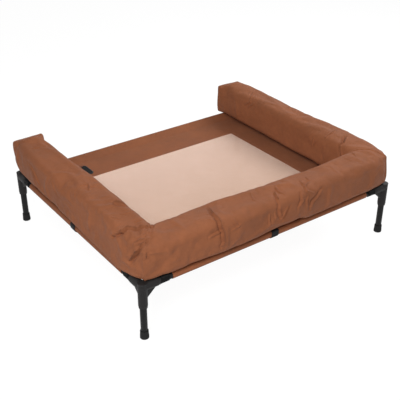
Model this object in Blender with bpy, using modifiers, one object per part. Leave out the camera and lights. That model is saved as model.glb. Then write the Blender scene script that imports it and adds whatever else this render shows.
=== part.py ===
"""Raised dog sofa: a mesh deck stretched in a tube frame on four legs, with a stuffed U-shaped bolster.

Metres, +Z up. The origin is on the floor under the middle of the frame. The open side faces +Y.
"""

import math

import bmesh
import bpy
import numpy as np
from mathutils import Matrix, Vector

# Frame
LEG_SPAN_X = 0.889
LEG_SPAN_Y = 0.732
FRAME_TOP = 0.178
TUBE_D = 0.019
TUBE_WALL = 0.001
CLEARANCE = 0.0003

# Corner connectors
CONNECTOR_WALL = 0.003
ARM_REACH = 0.050
ARM_RIM_WIDTH = 0.006
RIM_PROUD = 0.0008
SOCKET_MOUTH_Z = 0.100
SOCKET_DEPTH = 0.049
RAIL_STOP = 0.014
WEB_THICKNESS = 0.008
WEB_FOOT_Z = 0.128
SOCKET_ROUND = 0.003

# Rubber feet
FOOT_HEIGHT = 0.025
FOOT_FLOOR = 0.005
FOOT_WALL = 0.0018
FOOT_FLARE = 0.0008
FOOT_ROUND = 0.002

# Cloth deck
CLOTH = 0.0012
SLEEVE_START = 0.088
REAR_SLEEVE_START = 0.056
SLEEVE_REACH = 0.040
SIDE_BORDER = 0.1045
FRONT_BORDER = 0.102
CORNER_FILL = 0.6

# Blank sewn patch at the rear left of the deck
PATCH_X = 0.056
PATCH_Y = 0.066
PATCH_THICKNESS = 0.001
PATCH_ROUND = 0.012
PATCH_FROM_LEG = 0.1725

# Webbing straps
STRAP_WIDTH = 0.025
STRAP_THICKNESS = 0.0014
STRAP_ROUND = 0.003
STRAP_FROM_ARM = 0.002
MIDDLE_STRAP_SHIFT = -0.013

# Bolster
SIDE_OVERHANG = 0.0215
FRONT_OVERHANG = 0.0315
REAR_OVERHANG = 0.022
SIDE_WIDTH = 0.116
FRONT_WIDTH = 0.119
BOLSTER_HEIGHT = 0.110
END_PANEL_WIDTH = 0.098
END_PANEL_HEIGHT = 0.101
END_PANEL_LIFT = 0.001
END_PANEL_INWARD = 0.005
END_TAPER = 0.070
SEAM_DRAW_IN = 0.003
SIDE_STATIONS = 4
FRONT_STATIONS = 4

ROUND_SIDES = 24
ARC_STEPS = 8
SMOOTH_ANGLE = math.radians(35)
WELD = 1e-7

TUBE_R = TUBE_D / 2
BORE_R = TUBE_R + CLEARANCE
ARM_R = BORE_R + CONNECTOR_WALL
RIM_R = ARM_R + RIM_PROUD
RAIL_Z = FRAME_TOP - RIM_R
MESH_X = LEG_SPAN_X - 2 * (SLEEVE_REACH + SIDE_BORDER)
MESH_Y = LEG_SPAN_Y - 2 * (SLEEVE_REACH + FRONT_BORDER)
SLEEVE_IN_R = TUBE_R + CLEARANCE
SLEEVE_OUT_R = SLEEVE_IN_R + CLOTH
BOLSTER_BASE_Z = FRAME_TOP + CLEARANCE

# Each side of the frame: its turn about Z, the spacing of its legs, and its distance from the middle
SIDES = {
    "front": (0.0, LEG_SPAN_X, LEG_SPAN_Y / 2),
    "right": (math.pi / 2, LEG_SPAN_Y, LEG_SPAN_X / 2),
    "rear": (math.pi, LEG_SPAN_X, LEG_SPAN_Y / 2),
    "left": (-math.pi / 2, LEG_SPAN_Y, LEG_SPAN_X / 2),
}
# Each corner: its place, and the turn that points the connector's arms along the two rails that meet there
CORNERS = {
    "front_left": (-1, -1, 0.0),
    "front_right": (1, -1, math.pi / 2),
    "rear_right": (1, 1, math.pi),
    "rear_left": (-1, 1, -math.pi / 2),
}


def clear_scene():
    for thing in list(bpy.data.objects):
        bpy.data.objects.remove(thing, do_unlink=True)


def new_collection(name):
    collection = bpy.data.collections.new(name)
    bpy.context.scene.collection.children.link(collection)
    return collection


def finish(name, colour, roughness, metallic=0.0):
    material = bpy.data.materials.new(name)
    material.use_nodes = True
    shader = material.node_tree.nodes["Principled BSDF"]
    shader.inputs["Base Color"].default_value = (*colour, 1.0)
    shader.inputs["Roughness"].default_value = roughness
    shader.inputs["Metallic"].default_value = metallic
    return material


def add_object(name, data, collection, material=None):
    thing = bpy.data.objects.new(name, data)
    collection.objects.link(thing)
    if material and not data.materials:
        data.materials.append(material)
    return thing


def move_to(thing, collection):
    for other in list(thing.users_collection):
        other.objects.unlink(thing)
    collection.objects.link(thing)


def shade_round(mesh):
    mesh.shade_smooth()
    mesh.set_sharp_from_angle(angle=SMOOTH_ANGLE)


def arc(centre, radius, start, end, steps=ARC_STEPS):
    """Points on an arc in a plane, from one angle in degrees to another, both ends included."""
    angles = np.radians(np.linspace(start, end, steps + 1))
    return [(centre[0] + radius * math.cos(a), centre[1] + radius * math.sin(a)) for a in angles]


def flat_curve(name, outlines, thickness):
    """A filled flat curve, extruded to a thickness about its own plane. Later outlines are holes."""
    curve = bpy.data.curves.new(name, "CURVE")
    curve.dimensions = "2D"
    curve.fill_mode = "BOTH"
    curve.extrude = thickness / 2
    for outline in outlines:
        spline = curve.splines.new("POLY")
        spline.points.add(len(outline) - 1)
        for point, (x, y) in zip(spline.points, outline):
            point.co = (x, y, 0.0, 1.0)
        spline.use_cyclic_u = True
    return curve


def mesh_of(thing):
    """The object's shape as a mesh of its own, with its modifiers applied and its caps welded on."""
    bpy.context.view_layer.update()
    graph = bpy.context.evaluated_depsgraph_get()
    mesh = bpy.data.meshes.new_from_object(thing.evaluated_get(graph))
    shape = bmesh.new()
    shape.from_mesh(mesh)
    bmesh.ops.remove_doubles(shape, verts=shape.verts, dist=WELD)
    bmesh.ops.recalc_face_normals(shape, faces=shape.faces)
    shape.to_mesh(mesh)
    shape.free()
    return mesh


def flat_plate(name, outlines, thickness, collection, material=None):
    """A closed plate of a flat outline, as a mesh that a Boolean can read."""
    helper = add_object(name + "_outline", flat_curve(name, outlines, thickness), collection)
    plate = add_object(name, mesh_of(helper), collection, material)
    bpy.data.objects.remove(helper, do_unlink=True)
    return plate


def turned(name, profile, collection, material=None):
    """A shape turned about its own Z axis from a profile of (radius, height), listed down its outer side."""
    mesh = bpy.data.meshes.new(name)
    mesh.from_pydata([(r, 0.0, z) for r, z in profile], [(i, i + 1) for i in range(len(profile) - 1)], [])
    thing = add_object(name, mesh, collection, material)
    screw = thing.modifiers.new("Turn", "SCREW")
    screw.steps = ROUND_SIDES
    screw.render_steps = ROUND_SIDES
    screw.use_merge_vertices = True
    screw.merge_threshold = 1e-5
    screw.use_smooth_shade = True
    return thing


def helper_only(thing):
    thing.hide_render = True
    thing.display_type = "WIRE"


def boolean(thing, other, operation):
    cut = thing.modifiers.new(operation.title() + " " + other.name, "BOOLEAN")
    cut.operation = operation
    cut.solver = "EXACT"
    cut.object = other
    helper_only(other)


def side_frame(side, along=0.0):
    """A place on a side's rail axis: X runs inwards, Y runs up and Z runs along the rail."""
    turn, _, distance = SIDES[side]
    columns = Matrix(((0, 0, 1, 0), (1, 0, 0, 0), (0, 1, 0, 0), (0, 0, 0, 1)))
    return (
        Matrix.Rotation(turn, 4, "Z")
        @ Matrix.Translation((along, -distance, RAIL_Z))
        @ columns
    )


def hollow_tube(name, length, collection, material):
    """A steel tube, open at both ends, that runs along its own Z axis from the middle."""
    bpy.ops.mesh.primitive_cylinder_add(
        vertices=ROUND_SIDES, radius=TUBE_R, depth=length, end_fill_type="NOTHING"
    )
    tube = bpy.context.object
    tube.name = name
    move_to(tube, collection)
    tube.data.materials.append(material)
    shade_round(tube.data)
    wall = tube.modifiers.new("Wall", "SOLIDIFY")
    wall.thickness = TUBE_WALL
    wall.offset = -1
    wall.use_even_offset = True
    return tube


def make_rails(collection, material):
    for side, (_, spacing, _) in SIDES.items():
        length = spacing - 2 * (RAIL_STOP + CLEARANCE)
        rail = hollow_tube("rail_" + side, length, collection, material)
        rail.matrix_world = side_frame(side)


def make_legs(collection, steel, rubber):
    bottom = FOOT_FLOOR + CLEARANCE
    top = SOCKET_MOUTH_Z + SOCKET_DEPTH - CLEARANCE
    foot_top_r = BORE_R + FOOT_WALL
    foot_bottom_r = foot_top_r + FOOT_FLARE
    profile = [
        (0.0, FOOT_FLOOR),
        (BORE_R, FOOT_FLOOR),
        (BORE_R, FOOT_HEIGHT),
        (foot_top_r - FOOT_ROUND / 3, FOOT_HEIGHT),
        (foot_top_r, FOOT_HEIGHT - FOOT_ROUND / 2),
        (foot_bottom_r, FOOT_HEIGHT / 2),
        (foot_bottom_r, FOOT_ROUND),
        (foot_bottom_r - FOOT_ROUND / 3, FOOT_ROUND / 3),
        (foot_bottom_r - FOOT_ROUND, 0.0),
        (0.0, 0.0),
    ]
    for corner, (x, y, _) in CORNERS.items():
        place = Vector((x * LEG_SPAN_X / 2, y * LEG_SPAN_Y / 2, 0.0))
        leg = hollow_tube("leg_tube_" + corner, top - bottom, collection, steel)
        leg.location = place + Vector((0.0, 0.0, (top + bottom) / 2))
        foot = turned("foot_" + corner, profile, collection, rubber)
        foot.location = place


def connector_arm(name, helpers):
    """One horizontal arm, along its own Z axis from the corner's middle, with a rim at its mouth."""
    rim_from = ARM_REACH - ARM_RIM_WIDTH
    profile = [
        (0.0, ARM_REACH),
        (ARM_R, ARM_REACH),
        (RIM_R, ARM_REACH - RIM_PROUD),
        (RIM_R, rim_from + RIM_PROUD),
        (ARM_R, rim_from),
        (ARM_R, 0.0),
        (0.0, 0.0),
    ]
    return turned(name, profile, helpers)


def bore_cutter(name, start, end, helpers):
    """A plain cutter of the tube bore's size, between two heights on its own Z axis."""
    return turned(name, [(0.0, end), (BORE_R, end), (BORE_R, start), (0.0, start)], helpers)


def make_connectors(collection, helpers, material):
    """Four alike corner connectors: a leg socket, two rail sockets at a right angle, a web under each."""
    over = 2 * CONNECTOR_WALL
    rim_top = SOCKET_MOUTH_Z + ARM_RIM_WIDTH
    socket = turned(
        "corner_socket",
        [
            (0.0, FRAME_TOP),
            (ARM_R - SOCKET_ROUND, FRAME_TOP),
            (ARM_R - SOCKET_ROUND / 3, FRAME_TOP - SOCKET_ROUND / 3),
            (ARM_R, FRAME_TOP - SOCKET_ROUND),
            (ARM_R, rim_top),
            (RIM_R, rim_top - RIM_PROUD),
            (RIM_R, SOCKET_MOUTH_Z + RIM_PROUD),
            (ARM_R, SOCKET_MOUTH_Z),
            (0.0, SOCKET_MOUTH_Z),
        ],
        helpers,
    )
    web_outline = [
        (BORE_R + CONNECTOR_WALL / 2, WEB_FOOT_Z),
        (RIM_R, WEB_FOOT_Z),
        (ARM_REACH - ARM_RIM_WIDTH, RAIL_Z - ARM_R + CONNECTOR_WALL / 3),
        (ARM_REACH - ARM_RIM_WIDTH, RAIL_Z - BORE_R - CONNECTOR_WALL / 3),
        (BORE_R + CONNECTOR_WALL / 2, RAIL_Z - BORE_R - CONNECTOR_WALL / 3),
    ]
    # The arms point along +X and +Y: a turn about Y lays the arm's own axis on +X
    lay_down = Matrix.Rotation(math.pi / 2, 4, "Y")
    stand_up = Matrix.Rotation(math.pi / 2, 4, "X")
    # The bores are turned by half a facet, so that no facet of theirs lies along one of the socket's
    half_facet = Matrix.Rotation(math.pi / ROUND_SIDES, 4, "Z")
    for number, turn in enumerate((0.0, math.pi / 2)):
        facing = Matrix.Rotation(turn, 4, "Z")
        level = Matrix.Translation((0.0, 0.0, RAIL_Z))
        arm = connector_arm("socket_arm_%d" % number, helpers)
        arm.matrix_world = facing @ level @ lay_down
        web = flat_plate("socket_web_%d" % number, [web_outline], WEB_THICKNESS, helpers)
        web.matrix_world = facing @ stand_up
        boolean(socket, arm, "UNION")
        boolean(socket, web, "UNION")
    for number, turn in enumerate((0.0, math.pi / 2)):
        bore = bore_cutter("rail_bore_%d" % number, RAIL_STOP, ARM_REACH + over, helpers)
        facing = Matrix.Rotation(turn, 4, "Z")
        level = Matrix.Translation((0.0, 0.0, RAIL_Z))
        bore.matrix_world = facing @ level @ lay_down @ half_facet
        boolean(socket, bore, "DIFFERENCE")
    leg_bore = bore_cutter(
        "leg_bore", SOCKET_MOUTH_Z - over, SOCKET_MOUTH_Z + SOCKET_DEPTH, helpers
    )
    leg_bore.matrix_world = half_facet
    boolean(socket, leg_bore, "DIFFERENCE")
    mesh = mesh_of(socket)
    mesh.name = "corner_connector"
    shade_round(mesh)
    helper_only(socket)
    for corner, (x, y, turn) in CORNERS.items():
        connector = add_object("corner_connector_" + corner, mesh, collection, material)
        connector.location = (x * LEG_SPAN_X / 2, y * LEG_SPAN_Y / 2, 0.0)
        connector.rotation_euler = (0.0, 0.0, turn)


def teardrop(radius, tip, tip_half):
    """A circle round the rail with two straight runs that meet at the stitch line: X is inwards, Y is up."""
    lean = math.degrees(math.asin((radius - tip_half) / tip))
    outline = arc((0.0, 0.0), radius, 90 - lean, 270 + lean, 2 * ARC_STEPS)
    return outline + [(tip, -tip_half), (tip, tip_half)]


def sleeve_span(side):
    start = REAR_SLEEVE_START if side == "rear" else SLEEVE_START
    return SIDES[side][1] - 2 * start


def make_sleeves(collection, helpers, material):
    """The deck's edge is folded round each rail and stitched down, so its sleeve has a teardrop section."""
    outer = teardrop(SLEEVE_OUT_R, SLEEVE_REACH, CLOTH)
    inner = teardrop(SLEEVE_IN_R, SLEEVE_REACH - 2 * CLOTH, CLOTH / 6)
    for side in SIDES:
        sleeve = flat_plate(
            "rail_sleeve_" + side, [outer, inner], sleeve_span(side), collection, material
        )
        sleeve.matrix_world = side_frame(side)
        shade_round(sleeve.data)
        if side != "rear":
            # A slit in both layers of cloth lets the middle strap through
            slit_width = STRAP_THICKNESS + 2 * CLEARANCE
            slit_length = STRAP_WIDTH + 2 * CLEARANCE
            middle = SLEEVE_OUT_R + slit_width / 2
            bpy.ops.mesh.primitive_cube_add(size=1.0)
            slit = bpy.context.object
            slit.name = "strap_slit_" + side
            slit.data.transform(Matrix.Diagonal((slit_width, 4 * SLEEVE_OUT_R, slit_length, 1.0)))
            slit.data.transform(Matrix.Translation((middle, 0.0, middle_strap_along(side))))
            slit.matrix_world = side_frame(side)
            move_to(slit, helpers)
            boolean(sleeve, slit, "DIFFERENCE")


def middle_strap_along(side):
    """The middle straps sit a little off the middle, towards the left and towards the front."""
    return {"front": 1, "right": 1, "rear": 0, "left": -1}[side] * MIDDLE_STRAP_SHIFT


def make_deck(collection, brown, mesh_cloth, patch_cloth):
    """Four border panels, mitred where they meet, round the see-through panel."""
    bpy.ops.mesh.primitive_cube_add(size=1.0)
    panel = bpy.context.object
    panel.name = "mesh_panel"
    panel.data.transform(Matrix.Diagonal((MESH_X, MESH_Y, CLOTH, 1.0)))
    panel.location = (0.0, 0.0, RAIL_Z)
    panel.data.materials.append(mesh_cloth)
    move_to(panel, collection)

    # The corner is cut off between the ends of its two sleeves, and fills most of the square there
    end_x = LEG_SPAN_X / 2 - SLEEVE_START
    end_y = LEG_SPAN_Y / 2 - SLEEVE_START
    edge_x = LEG_SPAN_X / 2 - SLEEVE_REACH - CLEARANCE
    edge_y = LEG_SPAN_Y / 2 - SLEEVE_REACH - CLEARANCE
    cut = Vector((end_x + edge_x, edge_y + end_y)) / 2
    cut = cut.lerp(Vector((edge_x, edge_y)), CORNER_FILL)
    inner = Vector((MESH_X / 2, MESH_Y / 2))
    mitre = (cut - inner).normalized()
    apart = CLEARANCE / 2 * Vector((-mitre.y, mitre.x))
    long_inner = inner + apart + Vector((0.0, CLEARANCE))
    short_inner = inner - apart + Vector((CLEARANCE, 0.0))
    long_half = [tuple(cut + apart), tuple(long_inner)]
    short_half = [(edge_x, end_y), tuple(cut - apart), tuple(short_inner)]
    for side in SIDES:
        if side in ("front", "rear"):
            half = [(sleeve_span(side) / 2, edge_y)] + long_half
            outline = half + [(-x, y) for x, y in reversed(half)]
        else:
            half = short_half
            outline = half + [(x, -y) for x, y in reversed(half)]
        turn = math.pi if side in ("front", "left") else 0.0
        border = flat_plate("border_" + side, [outline], CLOTH, collection, brown)
        border.rotation_euler = (0.0, 0.0, turn)
        border.location = (0.0, 0.0, RAIL_Z)

    x0 = -LEG_SPAN_X / 2 + PATCH_FROM_LEG
    y0 = MESH_Y / 2 + FRONT_BORDER / 2
    reach_x = PATCH_X / 2 - PATCH_ROUND
    reach_y = PATCH_Y / 2 - PATCH_ROUND
    outline = []
    for number, (x, y) in enumerate(((1, 1), (-1, 1), (-1, -1), (1, -1))):
        centre = (x * reach_x, y * reach_y)
        outline += arc(centre, PATCH_ROUND, 90 * number, 90 * number + 90, ARC_STEPS // 2)
    patch = flat_plate("blank_patch", [outline], PATCH_THICKNESS, collection, patch_cloth)
    patch.location = (x0, y0, RAIL_Z + CLOTH / 2 + CLEARANCE + PATCH_THICKNESS / 2)


def strap_outline(reach, top, corner):
    """A loop of webbing round the rail: round on the outside, square where it runs up to the bolster."""
    return (
        arc((reach - corner, top - corner), corner, 0, 90, 3)
        + arc((-reach + corner, top - corner), corner, 90, 180, 3)
        + arc((0.0, 0.0), reach, 180, 270)
        + arc((reach - corner, -reach + corner), corner, 270, 360, 3)
    )


def make_straps(collection, material):
    """Three webbing loops on each side that the bolster covers, sewn to it and passed round the rail."""
    from_corner = ARM_REACH + STRAP_FROM_ARM + STRAP_WIDTH / 2
    for side in ("front", "left", "right"):
        _, spacing, _ = SIDES[side]
        ends = {
            "front": ("left", "middle", "right"),
            "right": ("front", "middle", "rear"),
            "left": ("rear", "middle", "front"),
        }[side]
        places = (
            -spacing / 2 + from_corner,
            middle_strap_along(side),
            spacing / 2 - from_corner,
        )
        for where, along in zip(ends, places):
            carried = SLEEVE_OUT_R if where == "middle" else TUBE_R
            inside = carried + CLEARANCE
            outside = inside + STRAP_THICKNESS
            top = FRAME_TOP - RAIL_Z
            outer = strap_outline(outside, top, STRAP_ROUND + STRAP_THICKNESS)
            inner = strap_outline(inside, top - STRAP_THICKNESS, STRAP_ROUND)
            name = "strap_%s_%s" % (side, where)
            strap = flat_plate(name, [outer, inner], STRAP_WIDTH, collection, material)
            strap.matrix_world = side_frame(side, along)
            shade_round(strap.data)


# Cages of the bolster's sections: shares of its width towards its outer side, and of its height
MIDDLE_SECTION = (
    (-0.14, 0.00), (0.24, 0.00), (0.40, 0.03), (0.51, 0.28), (0.53, 0.60), (0.42, 0.93),
    (0.14, 1.03), (-0.14, 1.03), (-0.42, 0.93), (-0.51, 0.60), (-0.53, 0.16), (-0.47, 0.00),
)
# At a mitred seam the outer side is drawn in over the leg, and its top corner comes to a point
SEAM_SECTION = (
    (-0.14, 0.00), (0.04, 0.00), (0.17, 0.05), (0.24, 0.22), (0.24, 0.55), (0.24, 0.84),
    (0.08, 0.99), (-0.14, 1.04), (-0.38, 0.99), (-0.52, 0.74), (-0.51, 0.30), (-0.36, 0.03),
)
SEAM_CORNERS = (5,)
# Beside a seam the arm swells out again: how far on it does, and how much of its full section it has there
SHOULDER_ALONG = 0.32
SHOULDER_FULLNESS = 0.75
# The sewn end panel is squarer, with its four corners drawn out to points
END_SECTION = (
    (-0.16, 0.00), (0.16, 0.00), (0.43, 0.03), (0.47, 0.33), (0.48, 0.66), (0.50, 0.96),
    (0.15, 0.95), (-0.15, 0.95), (-0.50, 0.97), (-0.48, 0.66), (-0.49, 0.33), (-0.49, 0.02),
)
PANEL_CORNERS = (2, 5, 8, 11)


def loft(name, rings, sharp_first, sharp_last, collection, material):
    """A closed cage through the rings. Its ends keep their flat caps, and the listed corners keep points."""
    shape = bmesh.new()
    crease = shape.edges.layers.float.new("crease_edge")
    rows = [[shape.verts.new(point) for point in ring] for ring in rings]
    count = len(rings[0])
    for first, second in zip(rows, rows[1:]):
        for i in range(count):
            j = (i + 1) % count
            shape.faces.new((first[i], first[j], second[j], second[i]))
    caps = [shape.faces.new(rows[0]), shape.faces.new(rows[-1])]
    for cap in caps:
        for edge in cap.edges:
            edge[crease] = 1.0
    for row, following, corners in ((rows[0], rows[1], sharp_first), (rows[-1], rows[-2], sharp_last)):
        for i in corners:
            edge = shape.edges.get((row[i], following[i]))
            edge[crease] = 0.9
    bmesh.ops.recalc_face_normals(shape, faces=shape.faces)
    mesh = bpy.data.meshes.new(name)
    shape.to_mesh(mesh)
    shape.free()
    mesh.shade_smooth()
    thing = add_object(name, mesh, collection, material)
    smooth = thing.modifiers.new("Soft form", "SUBSURF")
    smooth.levels = 2
    smooth.render_levels = 2
    return thing


def between(first, second, share):
    """A ring part of the way from one ring to the next."""
    return [tuple(a + share * (b - a) for a, b in zip(p, q)) for p, q in zip(first, second)]


def make_bolster(collection, material):
    """Three stuffed arms that meet at mitred seams, open along the rear of the deck."""
    outer_x = LEG_SPAN_X / 2 + SIDE_OVERHANG
    outer_y = LEG_SPAN_Y / 2 + FRONT_OVERHANG
    rear_y = LEG_SPAN_Y / 2 + REAR_OVERHANG
    middle_x = outer_x - SIDE_WIDTH / 2
    middle_y = outer_y - FRONT_WIDTH / 2

    def in_metres(section, fullness=1.0):
        """A section's points across the arm, as shares of its width, and their heights above the floor."""
        return [(u * fullness, BOLSTER_BASE_Z + v * BOLSTER_HEIGHT * fullness) for u, v in section]

    def run(count):
        """Shares along an arm, each with its section: fullest in the middle, drawn in at the seams."""
        drawn = SEAM_DRAW_IN / BOLSTER_HEIGHT
        shares = np.linspace(0, 1, count)
        return [(t, in_metres(MIDDLE_SECTION, 1 - drawn * (2 * t - 1) ** 2)) for t in shares]

    # Both arms at a corner end in the same ring, which lies in the plane of the mitre
    seam = in_metres(SEAM_SECTION)
    swollen = between(seam, in_metres(MIDDLE_SECTION), SHOULDER_FULLNESS)
    corner = [(middle_x + u * SIDE_WIDTH, -middle_y - u * FRONT_WIDTH, z) for u, z in seam]

    start_y = -outer_y + FRONT_WIDTH + END_TAPER / 2
    right = [[(x, y + CLEARANCE, z) for x, y, z in corner]]
    shoulder = []
    for (_, y, _), (u, z) in zip(corner, swollen):
        shoulder.append((middle_x + u * SIDE_WIDTH, y + SHOULDER_ALONG * (start_y - y), z))
    right.append(shoulder)
    for share, section in run(SIDE_STATIONS):
        y = start_y + share * (rear_y - END_TAPER - start_y)
        right.append([(middle_x + u * SIDE_WIDTH, y, z) for u, z in section])
    panel = []
    for u, v in END_SECTION:
        z = BOLSTER_BASE_Z + END_PANEL_LIFT + v * END_PANEL_HEIGHT
        panel.append((middle_x - END_PANEL_INWARD + u * END_PANEL_WIDTH, rear_y, z))
    right.append(panel)
    left = [[(-x, y, z) for x, y, z in ring] for ring in right]
    loft("bolster_right", right, SEAM_CORNERS, PANEL_CORNERS, collection, material)
    loft("bolster_left", left, SEAM_CORNERS, PANEL_CORNERS, collection, material)

    reach_x = outer_x - SIDE_WIDTH - END_TAPER / 2
    seam_end = [(x - CLEARANCE, y, z) for x, y, z in corner]
    shoulder = []
    for (x, _, _), (u, z) in zip(corner, swollen):
        shoulder.append((x + SHOULDER_ALONG * (reach_x - x), -middle_y - u * FRONT_WIDTH, z))
    middle = []
    for share, section in run(FRONT_STATIONS):
        x = reach_x * (2 * share - 1)
        middle.append([(x, -middle_y - u * FRONT_WIDTH, z) for u, z in section])
    left_end = [[(-x, y, z) for x, y, z in ring] for ring in (seam_end, shoulder)]
    front = left_end + middle + [shoulder, seam_end]
    loft("bolster_front", front, SEAM_CORNERS, SEAM_CORNERS, collection, material)


def main():
    clear_scene()
    sofa = new_collection("raised_dog_sofa")
    helpers = new_collection("cutters_and_guides")
    brown = finish("brown_woven_cover", (0.300, 0.124, 0.068), 0.85)
    see_through = finish("pale_mesh_cloth", (0.700, 0.520, 0.430), 0.8)
    black_cloth = finish("black_webbing", (0.012, 0.012, 0.014), 0.8)
    steel = finish("black_coated_steel", (0.022, 0.021, 0.022), 0.45, 0.3)
    plastic = finish("dark_grey_plastic", (0.040, 0.036, 0.037), 0.5)
    rubber = finish("black_rubber", (0.018, 0.018, 0.019), 0.75)
    make_legs(sofa, steel, rubber)
    make_rails(sofa, steel)
    make_connectors(sofa, helpers, plastic)
    make_sleeves(sofa, helpers, brown)
    make_deck(sofa, brown, see_through, black_cloth)
    make_straps(sofa, black_cloth)
    make_bolster(sofa, brown)


main()
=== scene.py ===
"""Looks of the raised dog sofa: cloth, webbing, plastic, rubber and steel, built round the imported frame.

Metres, +Z up. The open side of the bolster faces +Y, and the camera looks at the front left corner.
"""

from math import asin, atan2, copysign, cos, exp, pi, radians, sin, sqrt

import bmesh
import bpy
import numpy as np
from mathutils import Matrix, Vector, noise


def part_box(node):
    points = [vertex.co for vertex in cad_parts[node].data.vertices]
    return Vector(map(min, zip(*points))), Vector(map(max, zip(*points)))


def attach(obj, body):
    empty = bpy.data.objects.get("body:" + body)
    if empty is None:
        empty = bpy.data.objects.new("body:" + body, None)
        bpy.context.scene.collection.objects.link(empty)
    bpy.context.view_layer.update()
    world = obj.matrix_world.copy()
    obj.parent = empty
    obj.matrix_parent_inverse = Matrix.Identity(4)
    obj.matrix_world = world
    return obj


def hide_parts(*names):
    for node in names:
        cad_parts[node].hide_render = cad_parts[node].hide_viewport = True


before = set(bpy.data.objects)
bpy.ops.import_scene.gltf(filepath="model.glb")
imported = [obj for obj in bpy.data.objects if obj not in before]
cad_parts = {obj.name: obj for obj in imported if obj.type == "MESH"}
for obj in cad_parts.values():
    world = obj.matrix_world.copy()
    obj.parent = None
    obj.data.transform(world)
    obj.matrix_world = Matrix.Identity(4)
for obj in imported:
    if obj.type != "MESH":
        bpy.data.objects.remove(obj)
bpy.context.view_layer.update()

# The frame, as the CAD has it
LEG_X = 0.4445
LEG_Y = 0.366
FRAME_TOP = 0.178
RAIL_Z = 0.1644
TUBE_R = 0.0095
TUBE_WALL = 0.001
GAP = 0.0003
ARM_R = 0.0128
RIM_R = 0.0136
ARM_REACH = 0.050
RIM_WIDTH = 0.006
SOCKET_MOUTH_Z = 0.100
LEG_TOP_Z = 0.1487
LEG_FOOT_Z = 0.0053
RAIL_STOP = 0.014
SLEEVE_START = 0.088
REAR_SLEEVE_START = 0.056
STITCH_LINE = 0.040
MESH_HALF_X = 0.300
MESH_HALF_Y = 0.224
BORDER_CUT = (0.39466, 0.31616)
BOLSTER_BASE = 0.1783
MIDDLE_STRAP_SHIFT = -0.013

CORNERS = {
    "front_left": (-1, -1, 0.0),
    "front_right": (1, -1, pi / 2),
    "rear_right": (1, 1, pi),
    "rear_left": (-1, 1, -pi / 2),
}
# Each side: its turn about Z, half the spacing of its legs, and its rail's distance from the middle
SIDES = {
    "front": (0.0, LEG_X, LEG_Y),
    "right": (pi / 2, LEG_Y, LEG_X),
    "rear": (pi, LEG_X, LEG_Y),
    "left": (-pi / 2, LEG_Y, LEG_X),
}


# Ways of working


def deselect():
    if bpy.context.object and bpy.context.object.mode != "OBJECT":
        bpy.ops.object.mode_set(mode="OBJECT")
    bpy.ops.object.select_all(action="DESELECT")


def take(piece):
    """Makes one piece the only one that an operator acts on."""
    deselect()
    piece.select_set(True)
    bpy.context.view_layer.objects.active = piece


def name_it(name):
    piece = bpy.context.object
    piece.name = name
    piece.data.name = name
    return piece


def start_shaping(piece):
    take(piece)
    bpy.ops.object.mode_set(mode="EDIT")
    bpy.ops.mesh.select_all(action="DESELECT")


def stop_shaping():
    bpy.ops.object.mode_set(mode="OBJECT")


def pick(piece, kind, wanted):
    """Selects the faces, edges or points that pass the test, and nothing else."""
    bpy.ops.mesh.select_mode(type=kind)
    bpy.ops.mesh.select_all(action="DESELECT")
    shape = bmesh.from_edit_mesh(piece.data)
    for part in {"FACE": shape.faces, "EDGE": shape.edges, "VERT": shape.verts}[kind]:
        if wanted(part):
            part.select_set(True)
    shape.select_flush_mode()
    bmesh.update_edit_mesh(piece.data)


def pick_faces(piece, wanted):
    """Picks faces by their middle and normal."""
    pick(piece, "FACE", lambda face: wanted(face.calc_center_median(), face.normal))


def pick_points(piece, wanted):
    pick(piece, "VERT", lambda point: wanted(point.co))


def pick_all():
    bpy.ops.mesh.select_all(action="SELECT")


def face_out():
    """Turns all faces outwards, and ends the shaping."""
    pick_all()
    bpy.ops.mesh.normals_make_consistent(inside=False)
    stop_shaping()


def apply(piece, kind, **settings):
    """Adds a modifier with these settings and applies it."""
    take(piece)
    modifier = piece.modifiers.new(kind.title(), kind)
    for setting, value in settings.items():
        setattr(modifier, setting, value)
    bpy.ops.object.modifier_apply(modifier=modifier.name)


def ease_edges(piece, width, segments=2, degrees=50):
    """Rounds the edges that are sharper than an angle."""
    apply(piece, "BEVEL", width=width, segments=segments, limit_method="ANGLE", angle_limit=radians(degrees))


def settle(piece):
    """Puts the piece's place into its mesh, so that its object sits at the origin."""
    take(piece)
    bpy.ops.object.transform_apply(location=True, rotation=True, scale=True)


def copied(piece, name, place):
    """A copy with a mesh of its own, moved to its place."""
    take(piece)
    bpy.ops.object.duplicate(linked=False)
    twin = name_it(name)
    twin.data.transform(place)
    return twin


def remove(piece):
    bpy.data.objects.remove(piece, do_unlink=True)


def smooth(piece, degrees=35):
    take(piece)
    bpy.ops.object.shade_smooth_by_angle(angle=radians(degrees))


def side_place(side, along=0.0):
    """A place on a side's rail axis: X runs inwards, Y runs up and Z runs along the rail."""
    turn, _, distance = SIDES[side]
    columns = Matrix(((0, 0, 1, 0), (1, 0, 0, 0), (0, 1, 0, 0), (0, 0, 0, 1)))
    return Matrix.Rotation(turn, 4, "Z") @ Matrix.Translation((along, -distance, RAIL_Z)) @ columns


def dress(piece, material, body, slot, *nodes):
    """Gives a piece its material and its body, and hides the CAD nodes that it stands for; the slot is not
    used.
    """
    piece.data.materials.clear()
    piece.data.materials.append(material)
    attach(piece, body)
    if nodes:
        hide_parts(*nodes)
    return piece


def new_thing(name, data):
    """A new object in the scene."""
    thing = bpy.data.objects.new(name, data)
    bpy.context.scene.collection.objects.link(thing)
    return thing


def noise_at(place):
    return noise.noise(Vector(place))


def run_lengths(points):
    """How far along a line each of its points lies."""
    return np.concatenate(([0.0], np.cumsum(np.linalg.norm(np.diff(points, axis=0), axis=1))))


# Materials


def fill(tree, socket, given):
    """Links a socket from another one, or sets its own value."""
    if isinstance(given, bpy.types.NodeSocket):
        tree.links.new(given, socket)
    else:
        socket.default_value = (*given, 1.0) if socket.type == "RGBA" else given


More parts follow.
